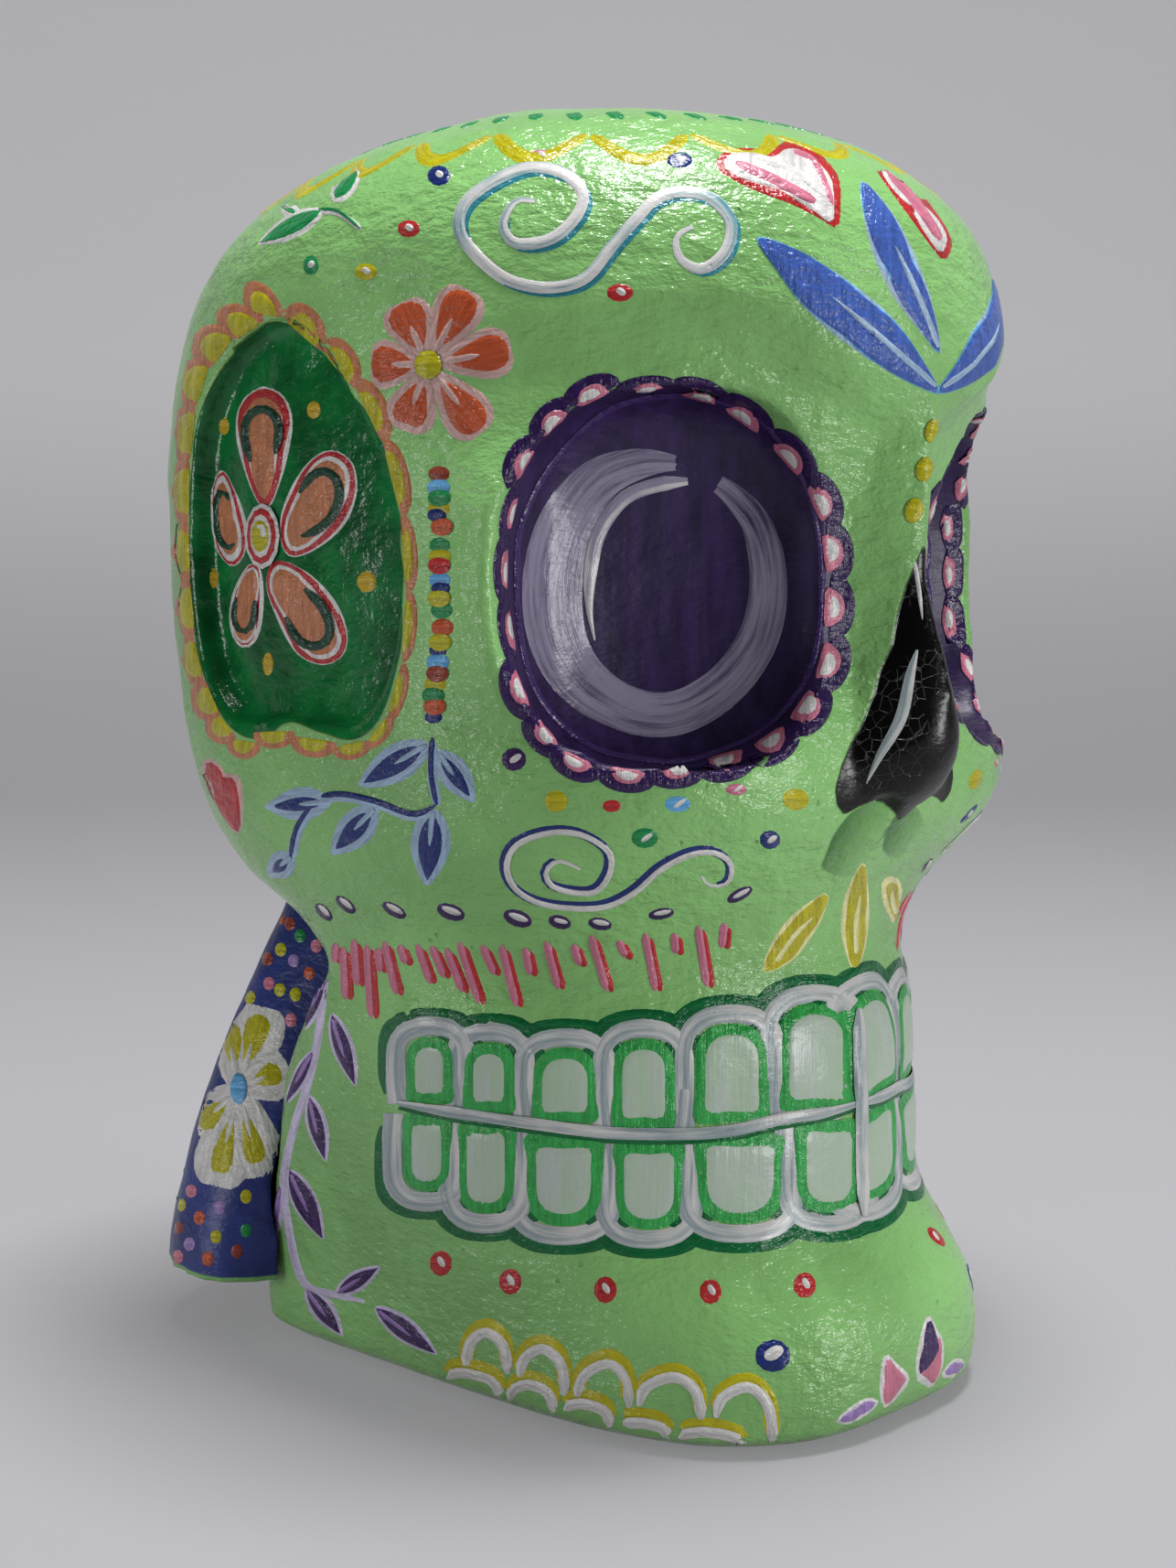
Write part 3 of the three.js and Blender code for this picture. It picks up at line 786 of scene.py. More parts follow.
def soften(bm, verts, passes):
    """Rounds off the steps between vertices."""
    for _ in range(passes):
        bmesh.ops.smooth_vert(bm, verts=verts, factor=0.5, use_axis_x=True, use_axis_y=True, use_axis_z=True)


def paper_skin(name, nodes, cell):
    """An even, rounded and slightly lumpy skin in place of mirrored halves."""
    shape = bpy.context.scene.skull_shape
    bm = welded_copy(nodes)
    keep_outside(bm)
    rough = bpy.data.meshes.new(name + "_rough")
    bm.to_mesh(rough)
    bm.free()
    draft = bpy.data.objects.new(name + "_draft", rough)
    bpy.context.scene.collection.objects.link(draft)
    remesh = draft.modifiers.new("even", "REMESH")
    remesh.mode = "VOXEL"
    remesh.voxel_size = cell
    mesh = bpy.data.meshes.new_from_object(draft.evaluated_get(bpy.context.evaluated_depsgraph_get()))
    bpy.data.objects.remove(draft)
    mesh.name = name
    bm = bmesh.new()
    bm.from_mesh(mesh)
    soften(bm, bm.verts, SMOOTH_FIRST)
    bm.normal_update()
    crisp = {vert for edge in bm.edges if edge.calc_face_angle(0) > shape.crease for vert in edge.verts}
    soften(bm, [vert for vert in bm.verts if vert not in crisp], shape.rounding)
    soften(bm, bm.verts, SMOOTH_LAST)
    bm.normal_update()
    for vert in bm.verts:
        spot = Vector((abs(vert.co.x), vert.co.y, vert.co.z))
        lump = noise.noise(spot / shape.lump_span) * shape.lump_height
        fold = noise.noise(spot / shape.fold_span + Vector((7, 3, 5))) * shape.fold_height
        settle = max(0, min(1, vert.co.z / FLAT_FOOT))
        vert.co += vert.normal * (lump + fold) * settle
    for face in bm.faces:
        face.smooth = True
    bm.to_mesh(mesh)
    bm.free()
    piece = ride(name, mesh)
    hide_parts(*nodes)
    return piece


def vertex_array(mesh, key):
    """Places or normals of a mesh's vertices as an array."""
    flat = np.zeros(len(mesh.vertices) * 3)
    mesh.vertices.foreach_get(key, flat)
    return flat.reshape(-1, 3)


def sharpen_brow(canvas, near, normal):
    """Raises the brow's edge and draws in the skin under it."""
    shape = bpy.context.scene.skull_shape
    u, v, _ = canvas.see(near)
    above = (np.interp(u, *zip(*BROW_EDGE)) - v) * PIXEL
    high = shape.brow_rise * np.exp(-above / BROW_FADE)
    fall = np.clip(-above / BROW_FALL, 0, 1)
    low = shape.brow_rise - (shape.brow_rise + shape.brow_sink) * fall
    low *= np.exp(-np.maximum(0, -above - BROW_FALL) / BROW_RUNOUT)
    strength = np.interp(u, *zip(*BROW_STRENGTH)) * (normal[:, 1] < 0.2) * (near[:, 1] < 0)
    return near + normal * (np.where(above > 0, high, low) * strength)[:, None]


def flare_socket(canvas, near):
    """Makes the socket's outer edge stand out, and its rim fall away from there."""
    shape = bpy.context.scene.skull_shape
    u, v, ahead = canvas.see(near)
    levels = [level for level, _ in FLARE_CREST]
    crest = np.interp(v, levels, [at for _, at in FLARE_CREST])
    depths = [canvas.see(np.array([canvas.meet(at, level)[0]]))[2][0] for level, at in FLARE_CREST]
    depth = np.interp(v, levels, depths)
    strength = np.interp(v, *zip(*FLARE_STRENGTH))
    strength *= (ahead < depth + FLARE_DEPTH) & (u < FLARE_END)
    outside = np.maximum(0, crest - u) / FLARE_OUTSIDE
    inside = np.maximum(0, u - crest)
    rise = shape.flare_rise * strength * np.exp(-outside**2) * np.clip(1 - inside / FLARE_INSIDE, 0, 1)
    bevel = depth - shape.flare_rise + np.minimum(shape.flare_slope * inside * PIXEL, shape.flare_drop)
    cut = np.maximum(0, bevel - (ahead - rise)) * strength * (inside > 0)
    eye = np.array(canvas.camera.translation)
    return eye + (near - eye) * ((ahead - rise + cut) / ahead)[:, None]


def sculpt_face(piece):
    """Sharpens the brow's edge and flares the outer edge of the eye sockets, alike on both sides."""
    canvas = PhotoCanvas(piece.name)
    co = vertex_array(piece.data, "co")
    side = np.ones(co.shape)
    side[co[:, 0] > 0, 0] = -1
    near = sharpen_brow(canvas, co * side, vertex_array(piece.data, "normal") * side)
    done = flare_socket(canvas, near) * side
    moved = np.flatnonzero(np.abs(done - co).max(axis=1) > SCULPTED)
    piece.data.vertices.foreach_set("co", done.ravel())
    bm = bmesh.new()
    bm.from_mesh(piece.data)
    bm.verts.ensure_lookup_table()
    soften(bm, [bm.verts[i] for i in moved], SMOOTH_SCULPTED)
    bm.to_mesh(piece.data)
    bm.free()


def inside_of(points, outline):
    """How many millimetres flat points lie inside a closed outline, below 0 outside it."""
    ring = np.array(outline)
    nearest = np.full(len(points), 1e9)
    inside = np.zeros(len(points), bool)
    for a, b in zip(ring, np.roll(ring, -1, 0)):
        edge = b - a
        along = np.clip(((points - a) @ edge) / max(edge @ edge, 1e-12), 0, 1)
        nearest = np.minimum(nearest, np.linalg.norm(points - a - along[:, None] * edge, axis=1))
        crosses = (a[1] > points[:, 1]) != (b[1] > points[:, 1])
        cut = (points[:, 1] - a[1]) * edge[0] / (edge[1] or 1e-12) + a[0]
        inside ^= crosses & (points[:, 0] < cut)
    return np.where(inside, nearest, -nearest) / MM


def inside_region(piece, canvas, outline, across, reach):
    """How far the skin lies inside an outline of the photograph, seen level along a direction on both sides."""
    up = Vector((0, 0, 1))
    ahead = across.cross(up)
    places = [canvas.meet(*point)[0] for point in outline]
    rim = Route([(place.dot(across), place.dot(up)) for place in places], True)
    co = vertex_array(piece.data, "co")
    co[:, 0] = -np.abs(co[:, 0])
    inside = inside_of(np.stack([co @ np.array(across), co @ np.array(up)], 1), [tuple(dot) for dot in rim.dots])
    inside[co @ np.array(ahead) < min(place.dot(ahead) for place in places) - reach] = -MARK_LIMIT
    return inside


def mark(piece, name, values):
    """Keeps a value for each vertex, which the materials read."""
    layer = piece.data.attributes.new(name, "FLOAT", "POINT")
    layer.data.foreach_set("value", np.clip(values, -MARK_LIMIT, MARK_LIMIT))


# Places of the ornament, in pixels of the photograph

BROW_EDGE = (
    (520, 350), (600, 338), (700, 326), (780, 320), (840, 335), (900, 370), (960, 402), (1010, 428), (1040, 438),
)
BROW_STRENGTH = ((490, 0), (570, 1), (900, 1), (1010, 0.3))
BROW_FADE = 18 * MM  # length over which the rise above the brow's edge fades
BROW_FALL = 12 * MM  # length over which the skin under the edge is drawn in
BROW_RUNOUT = 9 * MM  # length over which that fades below
# Height and place of the edge outside the near eye, from which its rim falls away
FLARE_CREST = (
    (425, 640), (450, 598), (500, 557), (560, 540), (625, 534), (690, 539), (750, 554), (800, 586), (835, 625),
)
FLARE_STRENGTH = ((460, 0), (550, 1), (720, 1), (805, 0))
FLARE_OUTSIDE = 48  # breadth of the rise outside the crest
FLARE_INSIDE = 60  # breadth of the rise inside the crest
FLARE_END = 760
FLARE_DEPTH = 26 * MM  # how far behind the crest the skin takes part
SCULPTED = 0.4 * MM  # how far a vertex has moved when it is softened again
EYE_SCALLOPS = (
    (646, 441), (707, 425), (765, 430), (815, 455), (865, 499), (898, 548), (910, 604), (911, 664), (906, 724),
    (883, 775), (845, 812), (795, 833), (739, 842), (686, 841), (633, 828), (598, 798), (570, 751), (556, 690),
    (550, 622), (558, 561), (576, 513), (605, 472),
)
TEMPLE_EDGE = (
    (303, 352), (268, 372), (240, 408), (218, 455), (209, 520), (207, 590), (209, 660), (217, 715), (235, 770),
    (262, 802), (290, 806), (318, 789), (350, 800), (385, 808), (412, 790), (430, 745), (440, 680), (438, 600),
    (428, 520), (405, 455), (375, 410), (340, 373),
)
TEMPLE_SCALLOPS = (
    (293, 331), (262, 345), (230, 372), (208, 416), (199, 473), (196, 537), (196, 603), (200, 665), (207, 722),
    (224, 768), (240, 797), (266, 817), (300, 806), (342, 815), (385, 818), (414, 799), (433, 757), (444, 684),
    (443, 605), (431, 522), (405, 450), (372, 400), (335, 362),
)
NOSE_EDGE = (
    (998, 595), (990, 640), (976, 703), (956, 758), (938, 800), (920, 838), (913, 862), (915, 880), (923, 891),
    (938, 882), (957, 875), (966, 877), (970, 898),
)
# Outline of each nostril, and where its shade starts and fades out
NOSTRILS = (
    (((900, 950), (903, 934), (912, 912), (929, 890), (950, 878), (969, 876), (968, 905), (955, 932), (930, 958)),
     (908, 920), (962, 925)),
    (((966, 930), (968, 912), (975, 898), (988, 885), (1008, 877), (1010, 897), (1000, 920), (984, 938)),
     (970, 912), (1006, 915)),
)
EYE_MIDDLE = Vector((730, 636))


def scallop_row(centres, middle):
    """Place, half-length, tangent and outward direction of each lobe of a closed row."""
    for i, centre in enumerate(centres):
        way = Vector(centres[(i + 1) % len(centres)]) - Vector(centres[i - 1])
        along = way.normalized()
        out = Vector((along.y, -along.x))
        if out.dot(Vector(centre) - middle) < 0:
            out = -out
        yield Vector(centre), way.length / 4, along, out


def lobe(base, along, out, wide, deep):
    """Outline of a half-round lobe that stands on a line through its base."""
    arc = [math.pi * step / 8 for step in range(9)]
    arch = [base + along * wide * math.cos(a) + out * deep * math.sin(a) ** 0.8 for a in arc]
    return arch + [base - out * deep * 0.06]


class SKULL_OT_head(bpy.types.Operator):
    """Make the painted paper skin of the head"""

    bl_idname = "skull.head"
    bl_label = "Painted Head"

    RIM = 6  # pixels by which the purple goes past the middle of the scallops
    SOCKET_DEPTH = 30 * MM
    TEMPLE_DEPTH = 14 * MM
    NOSE_DEPTH = 30 * MM
    NOSTRIL_DEPTH = 10 * MM
    HIDDEN = 11  # millimetres past the socket's edge to which its floor may lie hidden
    HIDDEN_HEIGHT = 12 * MM  # how far above the lowest scallop

    def execute(self, context):
        halves = ("right_half_shell", "left_half_shell")
        cell = context.scene.skull_shape.cell
        head = paper_skin(HEAD_SKIN, halves, cell)
        sculpt_face(head)
        canvas = PhotoCanvas(head.name)
        rim = [centre + out * self.RIM for centre, _, _, out in scallop_row(EYE_SCALLOPS, EYE_MIDDLE)]
        eye = inside_region(head, canvas, rim, SocketCanvas.ACROSS, self.SOCKET_DEPTH)
        self.fill_sockets(head, canvas, eye)
        mark(head, "eye_paint", eye)
        temple = inside_region(head, canvas, TEMPLE_EDGE, Vector((0, -1, 0)), self.TEMPLE_DEPTH)
        mark(head, "temple_paint", temple)
        self.mark_nose(head, canvas)
        self.mark_nostrils(head, canvas)
        head.data.materials.append(head_finish())
        return {"FINISHED"}

    def fill_sockets(self, head, canvas, eye):
        """Marks the part of each socket's floor that its lower edge hides from the camera."""
        near = vertex_array(head.data, "co")
        near[:, 0] = -np.abs(near[:, 0])
        lowest = canvas.meet(*max(EYE_SCALLOPS, key=lambda centre: centre[1]))[0].z
        low = near[:, 2] < lowest + self.HIDDEN_HEIGHT
        for i in np.flatnonzero((eye > -self.HIDDEN) & (eye < 1) & low):
            start = Vector(near[i]) + SocketCanvas.OUTWARD * 2 * MM
            if canvas.tree.ray_cast(start, SocketCanvas.OUTWARD, 2 * self.SOCKET_DEPTH)[0]:
                eye[i] = 1

    def mark_nose(self, head, canvas):
        """The nose is seen from the front, with its edge mirrored about the middle."""
        right = [canvas.meet(*point)[0] for point in NOSE_EDGE]
        half = [(-abs(place.x), place.z) for place in right]
        half[0] = (-0.3 * MM, half[0][1])
        half[-1] = (0, half[-1][1])
        outline = half + [(-x, z) for x, z in reversed(half)]
        co = vertex_array(head.data, "co")
        inside = inside_of(co[:, (0, 2)], outline)
        inside[co[:, 1] > right[0].y + self.NOSE_DEPTH] = -MARK_LIMIT
        mark(head, "nose_paint", inside)

    def mark_nostrils(self, head, canvas):
        """The edge of each nostril, and how its shade fades across it."""
        co = vertex_array(head.data, "co")
        front = co[:, (0, 2)]
        edge = np.full(len(co), -float(MARK_LIMIT))
        shade = np.zeros(len(co))
        for outline, start, end in NOSTRILS:
            places = [canvas.meet(*point)[0] for point in outline]
            rim = Route([(place.x, place.z) for place in places], True)
            inside = inside_of(front, [tuple(dot) for dot in rim.dots])
            inside[co[:, 1] > max(place.y for place in places) + self.NOSTRIL_DEPTH] = -MARK_LIMIT
            a, b = (np.array(canvas.meet(*point)[0])[[0, 2]] for point in (start, end))
            fade = np.clip((front - a) @ (b - a) / ((b - a) @ (b - a)), 0, 1)
            shade = np.where(inside > edge, 1 - fade, shade)
            edge = np.maximum(edge, inside)
        mark(head, "nostril", edge)
        mark(head, "nostril_shade", shade)


class SKULL_OT_neck(bpy.types.Operator):
    """Make the painted paper skin of the neck"""

    bl_idname = "skull.neck"
    bl_label = "Painted Neck"

    def execute(self, context):
        halves = ("neck_right_half", "neck_left_half")
        neck = paper_skin(NECK_SKIN, halves, context.scene.skull_shape.cell)
        neck.data.materials.append(neck_finish())
        return {"FINISHED"}


class SKULL_OT_strips(bpy.types.Operator):
    """Give the paper strips inside the seam their finish"""

    bl_idname = "skull.strips"
    bl_label = "Seam Strips"

    def execute(self, context):
        finish = strip_finish()
        strips = [piece for name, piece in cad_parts.items() if "strip" in name]
        if not strips:
            raise RuntimeError("the frame has no seam strips")
        for strip in strips:
            for slot in strip.material_slots:
                slot.material = finish
        return {"FINISHED"}


class SKULL_OT_eyes(bpy.types.Operator):
    """Paint the scalloped eye rims and the brushed rings in the sockets"""

    bl_idname = "skull.eyes"
    bl_label = "Eyes"

    RIM = (
        (732, 433), (668, 447), (612, 496), (575, 560), (565, 615), (570, 700), (592, 765), (640, 812), (700, 830),
        (760, 829), (830, 800), (880, 745), (896, 680), (896, 600), (880, 530), (845, 472), (795, 441),
    )
    RING = (
        (758, 508), (705, 506), (655, 525), (618, 575), (604, 640), (612, 705), (645, 752), (700, 779), (750, 776),
        (800, 742), (832, 690), (840, 630), (828, 575), (800, 540), (770, 520),
    )
    RING_BREADTH = (5, 17, 26, 31, 34, 33, 30, 26, 25, 24, 23, 22, 20, 15, 9)
    STEEP = (0, 13, 14, 15, 16, 20, 21)  # lobes beside the steep part of the socket's edge
    STEEP_DEEP, STEEP_SHIFT = 2.4, 1.2  # their depth and how far out they are moved, in millimetres
    RING_EDGE = ((752, 526), (718, 530), (682, 545), (656, 580), (646, 620), (644, 665), (650, 700))

    def execute(self, context):
        paint = head_paint("eye_paint")
        photo, socket = paint.canvas, SocketCanvas(HEAD_SKIN)
        places = [socket.flat(photo.meet(*centre)[0]) for centre in EYE_SCALLOPS]
        middle = socket.flat(photo.meet(*EYE_MIDDLE)[0])
        steep = list(scallop_row(places, middle))
        for i, (centre, half, along, out) in enumerate(scallop_row(EYE_SCALLOPS, EYE_MIDDLE)):
            if i not in self.STEEP:
                deep = 13.5 + 6.5 * out.x + 2.5 * out.y  # deepest towards the nose
                self.scallop(paint, i, centre, half, along, out, deep, 1)
        paint.canvas = socket
        for i in self.STEEP:
            centre, half, along, out = steep[i]
            centre = socket.beside(centre, out) + out * self.STEEP_SHIFT
            self.scallop(paint, i, centre, half, along, out, self.STEEP_DEEP, PIXEL / MM)
        paint.canvas = photo
        paint.touch("rim_purple", self.RIM, 3, even_end, 1, True)
        knots = np.linspace(0, 1, len(self.RING_BREADTH))
        widest = max(self.RING_BREADTH)
        paint.touch("ring", self.RING, widest, lambda t: float(np.interp(t, knots, self.RING_BREADTH)) / widest)
        paint.touch("ring_edge", self.RING_EDGE, 8, tail_end, 1)
        paint.mirror()
        paint.dry()
        return {"FINISHED"}

    def scallop(self, paint, i, centre, half, along, out, deep, unit):
        """A purple lobe with a pink and white drop; unit is the size of a pixel on the canvas."""
        paint.patch("eye_purple", lobe(centre - out * 3 * unit, along, out, half + 6 * unit, deep + 7 * unit), 1)
        foot = centre - out * deep * 0.45
        paint.patch("pink", lobe(foot, along, out, half * 0.7, deep * 1.08), 2)
        foot += out * deep * 0.18 + along * half * 0.1 * (i % 3 - 1)
        paint.patch("white", lobe(foot, along, out, half * 0.46, deep * 0.62), 3)


class SKULL_OT_temples(bpy.types.Operator):
    """Paint the scallops, the flower and the dots of the temple medallions"""

    bl_idname = "skull.temples"
    bl_label = "Temples"

    # Outline of each petal, and how broad its layers are
    PETALS = (
        (((285, 556), (268, 520), (257, 475), (262, 440), (285, 421), (310, 430), (321, 460), (314, 505), (298, 552)),
         0.95),
        (((305, 566), (318, 530), (340, 500), (365, 489), (388, 505), (392, 540), (378, 575), (350, 600), (320, 612),
          (306, 598)), 1),
        (((300, 609), (335, 622), (368, 655), (383, 695), (375, 722), (350, 730), (322, 715), (300, 675), (288, 635)),
         1),
        (((272, 616), (255, 645), (250, 680), (258, 704), (272, 709), (285, 690), (289, 650), (284, 618)), 0.62),
        (((268, 562), (255, 530), (243, 512), (232, 530), (230, 565), (236, 600), (252, 621), (266, 612), (271, 590)),
         0.7),
    )
    PETAL_LAYERS = (("white", 0), ("red", 4.5), ("white", 10), ("tan", 15))
    HEART = (("white", 19, 36), ("red", 16, 32), ("white", 11.5, 25), ("yellow", 9.5, 19))
    DOTS = ((245, 466, 6, 11), (343, 448, 8, 11), (234, 632, 5, 12), (401, 636, 11, 13), (293, 726, 6, 14))

    def execute(self, context):
        paint = head_paint("temple_paint")
        middle = Vector((320, 590))
        # The lobes are deepest above, where they lean back, and the front ones start nearer to the edge
        for centre, half, along, out in scallop_row(TEMPLE_SCALLOPS, middle):
            deep = 20 - 6 * out.x + 18 * max(0, -out.y) - 2 * max(0, out.y)
            lean = (out + Vector((-0.5, 0)) * max(0, -out.y)).normalized()
            inset = deep * 0.5 - 3 + (5 - deep * 0.5) * max(0, out.x) + 6 * max(0, -out.x) * max(0, -out.y)
            foot = centre - out * inset
            paint.patch("tan", lobe(foot, along, lean, half + 5, deep * 1.05))
            paint.patch("yellow", lobe(foot, along, lean, half * 0.8, deep * 0.72), 1)
        for outline, broad in self.PETALS:
            paint.layers(outline, *((pot_name, shrink * broad) for pot_name, shrink in self.PETAL_LAYERS))
            heart = sum((Vector(p) for p in outline), Vector((0, 0))) / len(outline)
            loop = [heart + (Vector(p) - heart) * 0.58 for p in outline[1:-1]]
            paint.touch("pine", loop, 5 * broad, brush_end, 5)
        for coat, (pot_name, wide, high) in enumerate(self.HEART, 4):
            paint.dot(pot_name, (289, 586), wide, high, 0, coat)
        # A painted highlight: a white tick on the yellow middle of the flower
        paint.touch("white", ((286, 578), (292, 576), (293, 588)), 3, brush_end, 8)
        for x, y, wide, high in self.DOTS:
            paint.dot("amber", (x, y), wide, high)
        paint.mirror()
        paint.dry()
        return {"FINISHED"}


class SKULL_OT_forehead(bpy.types.Operator):
    """Paint the crest of leaves, hearts, swirls, flowers, sprigs and dots of the forehead"""

    bl_idname = "skull.forehead"
    bl_label = "Forehead"

    HEART = (
        (779, 176), (789, 163), (813, 160), (840, 162), (862, 152), (886, 157), (906, 174), (920, 194), (923, 216),
        (919, 251), (898, 241), (866, 225), (834, 213), (801, 198), (783, 186),
    )
    FAR_HEART = (
        (954, 176), (968, 173), (984, 186), (1004, 206), (1022, 228), (1038, 252), (1044, 272), (1034, 288),
        (1016, 268), (998, 243), (978, 216), (962, 194),
    )
    SIDE_LEAF = (
        (824, 257), (865, 268), (905, 290), (948, 320), (985, 355), (1012, 395), (1030, 432), (1003, 424), (975, 410),
        (940, 388), (905, 362), (872, 330), (846, 294),
    )
    MID_LEAF = (
        (940, 195), (964, 216), (985, 246), (1008, 295), (1023, 343), (1029, 390), (1005, 362), (980, 330),
        (958, 288), (944, 240),
    )
    SWIRL = (
        (585, 220), (564, 220), (550, 245), (564, 266), (602, 262), (630, 238), (638, 213), (620, 192), (581, 183),
        (539, 199), (508, 224), (504, 255), (529, 287), (560, 308), (602, 315), (641, 304), (670, 269), (695, 241),
        (719, 217), (751, 210), (782, 220), (800, 245), (793, 276), (768, 294), (744, 283), (740, 259), (758, 248),
    )
    PETAL_TIPS = ((514, 314), (562, 381), (528, 475), (441, 472), (402, 398), (437, 328))
    DOTS = (
        ("navy", 480, 192, 13, 12), ("red", 447, 250, 13, 11), ("leaf_green", 340, 290, 9, 12),
        ("yellow", 400, 297, 13, 10), ("pink", 592, 170, 13, 8), ("navy", 743, 175, 15, 10),
        ("red", 678, 320, 15, 11),
    )
    BRIDGE_DOTS = ((1021, 471), (1011, 513), (999, 558))
    SPRIG = (((362, 222), (396, 180), 14), ((356, 228), (280, 268), 15), ((330, 236), (300, 222), 9))

    def execute(self, context):
        paint = head_paint("forehead_paint")
        paint.touch("teal", [(x + 4, y + 4) for x, y in self.SWIRL], 7)
        paint.touch("swirl", self.SWIRL, 7, brush_end, 1)
        self.flower(paint)
        self.sprig(paint)
        self.crest_leaf(paint, self.SIDE_LEAF, ((1022, 422), (965, 372), (905, 322)))
        for pot_name, x, y, wide, high in self.DOTS:
            paint.dot(pot_name, (x, y), wide, high)
            # A painted highlight: a small white spot on the upper right of each dot
            paint.dot("white", (x + 1, y - 1), wide * 0.4, high * 0.4, 30, 1)
        paint.mirror()
        self.crest_leaf(paint, self.MID_LEAF, ((1025, 380), (1003, 325), (975, 265)))
        self.heart(paint, self.HEART, (((800, 178), (845, 197), (895, 224)), ((820, 172), (870, 190), (905, 218)),
                                       ((862, 166), (890, 178), (910, 225))))
        self.heart(paint, self.FAR_HEART, (((968, 186), (1000, 222), (1030, 266)),))
        for at in self.BRIDGE_DOTS:
            paint.dot("yellow", at, 10, 14, 15, 2)
        paint.dry()
        return {"FINISHED"}

    def heart(self, paint, outline, streaks):
        """A white heart with a red edge and brushed streaks."""
        paint.layers(outline, ("red", 0), ("white", 10))
        for i, streak in enumerate(streaks):
            paint.touch(("pink", "white")[i % 2], streak, 6 - i, brush_end, 2)

    def flower(self, paint):
        """Six orange petals with a pale edge and vein."""
        middle = Vector((469, 399))
        for tip in self.PETAL_TIPS:
            paint.leaf("pale_pink", middle + (Vector(tip) - middle) * 0.1, tip, 30, end=petal_end)
        for tip in self.PETAL_TIPS:
            way = Vector(tip) - middle
            paint.leaf("orange", middle + way * 0.24, middle + way * 0.94, 22, 1, end=petal_end)
            paint.vein("pale_pink", middle, tip, 0.2, 0.62, 4, 2)
        paint.dot("yellow", middle, 15, 16, 0, 3)

    def sprig(self, paint):
        """Green leaves with a white edge on a short stem."""
        paint.touch("white", ((345, 231), (370, 233), (397, 252)), 4)
        for base, tip, width in self.SPRIG:
            paint.leaf("white", base, tip, width)
            paint.leaf("leaf_green", base, tip, width, 1, -5)
        paint.touch("leaf_green", ((347, 229), (370, 231), (394, 250)), 2.2, brush_end, 1)

    def crest_leaf(self, paint, outline, vein):
        """A blue leaf with a pale edge and vein."""
        paint.layers(outline, ("pale_blue", 0), ("sky", 4), ("crest_blue", 6.5))
        paint.touch("pale_blue", vein, 3.5, tail_end, 3)


class SKULL_OT_crown(bpy.types.Operator):
    """Paint the scallops and dashes round the crown"""

    bl_idname = "skull.crown"
    bl_label = "Crown"

    COUNT = 22  # scallops round the crown
    WIDE, LONG = 61, 64  # half-sizes of their ring in millimetres
    SQUARE = 2.4  # how square the ring is, 2 being round

    def execute(self, context):
        paint = Paint("crown_paint", PlanCanvas(HEAD_SKIN), "painted_head")
        for i in range(self.COUNT):
            turn = [2 * math.pi * (i + step / 6) / self.COUNT for step in range(7)]
            bulge = [1 + 0.12 * math.sin(math.pi * step / 6) for step in range(7)]
            paint.touch("yellow", [self.spot(angle, share) for angle, share in zip(turn, bulge)], 1.6)
            for dash in (0.25, 0.75):
                angle = 2 * math.pi * (i + dash) / self.COUNT
                paint.touch("leaf_green", (self.spot(angle, 0.8), self.spot(angle + 0.03, 0.9)), 1.7, tail_end)
        paint.dry()
        return {"FINISHED"}

    def spot(self, angle, share):
        """A place on a squarish ring round the crown."""
        across, ahead = math.sin(angle), math.cos(angle)
        bulge = abs(across / self.WIDE) ** self.SQUARE + abs(ahead / self.LONG) ** self.SQUARE
        reach = share / bulge ** (1 / self.SQUARE)
        return (reach * across, -2 - reach * ahead)


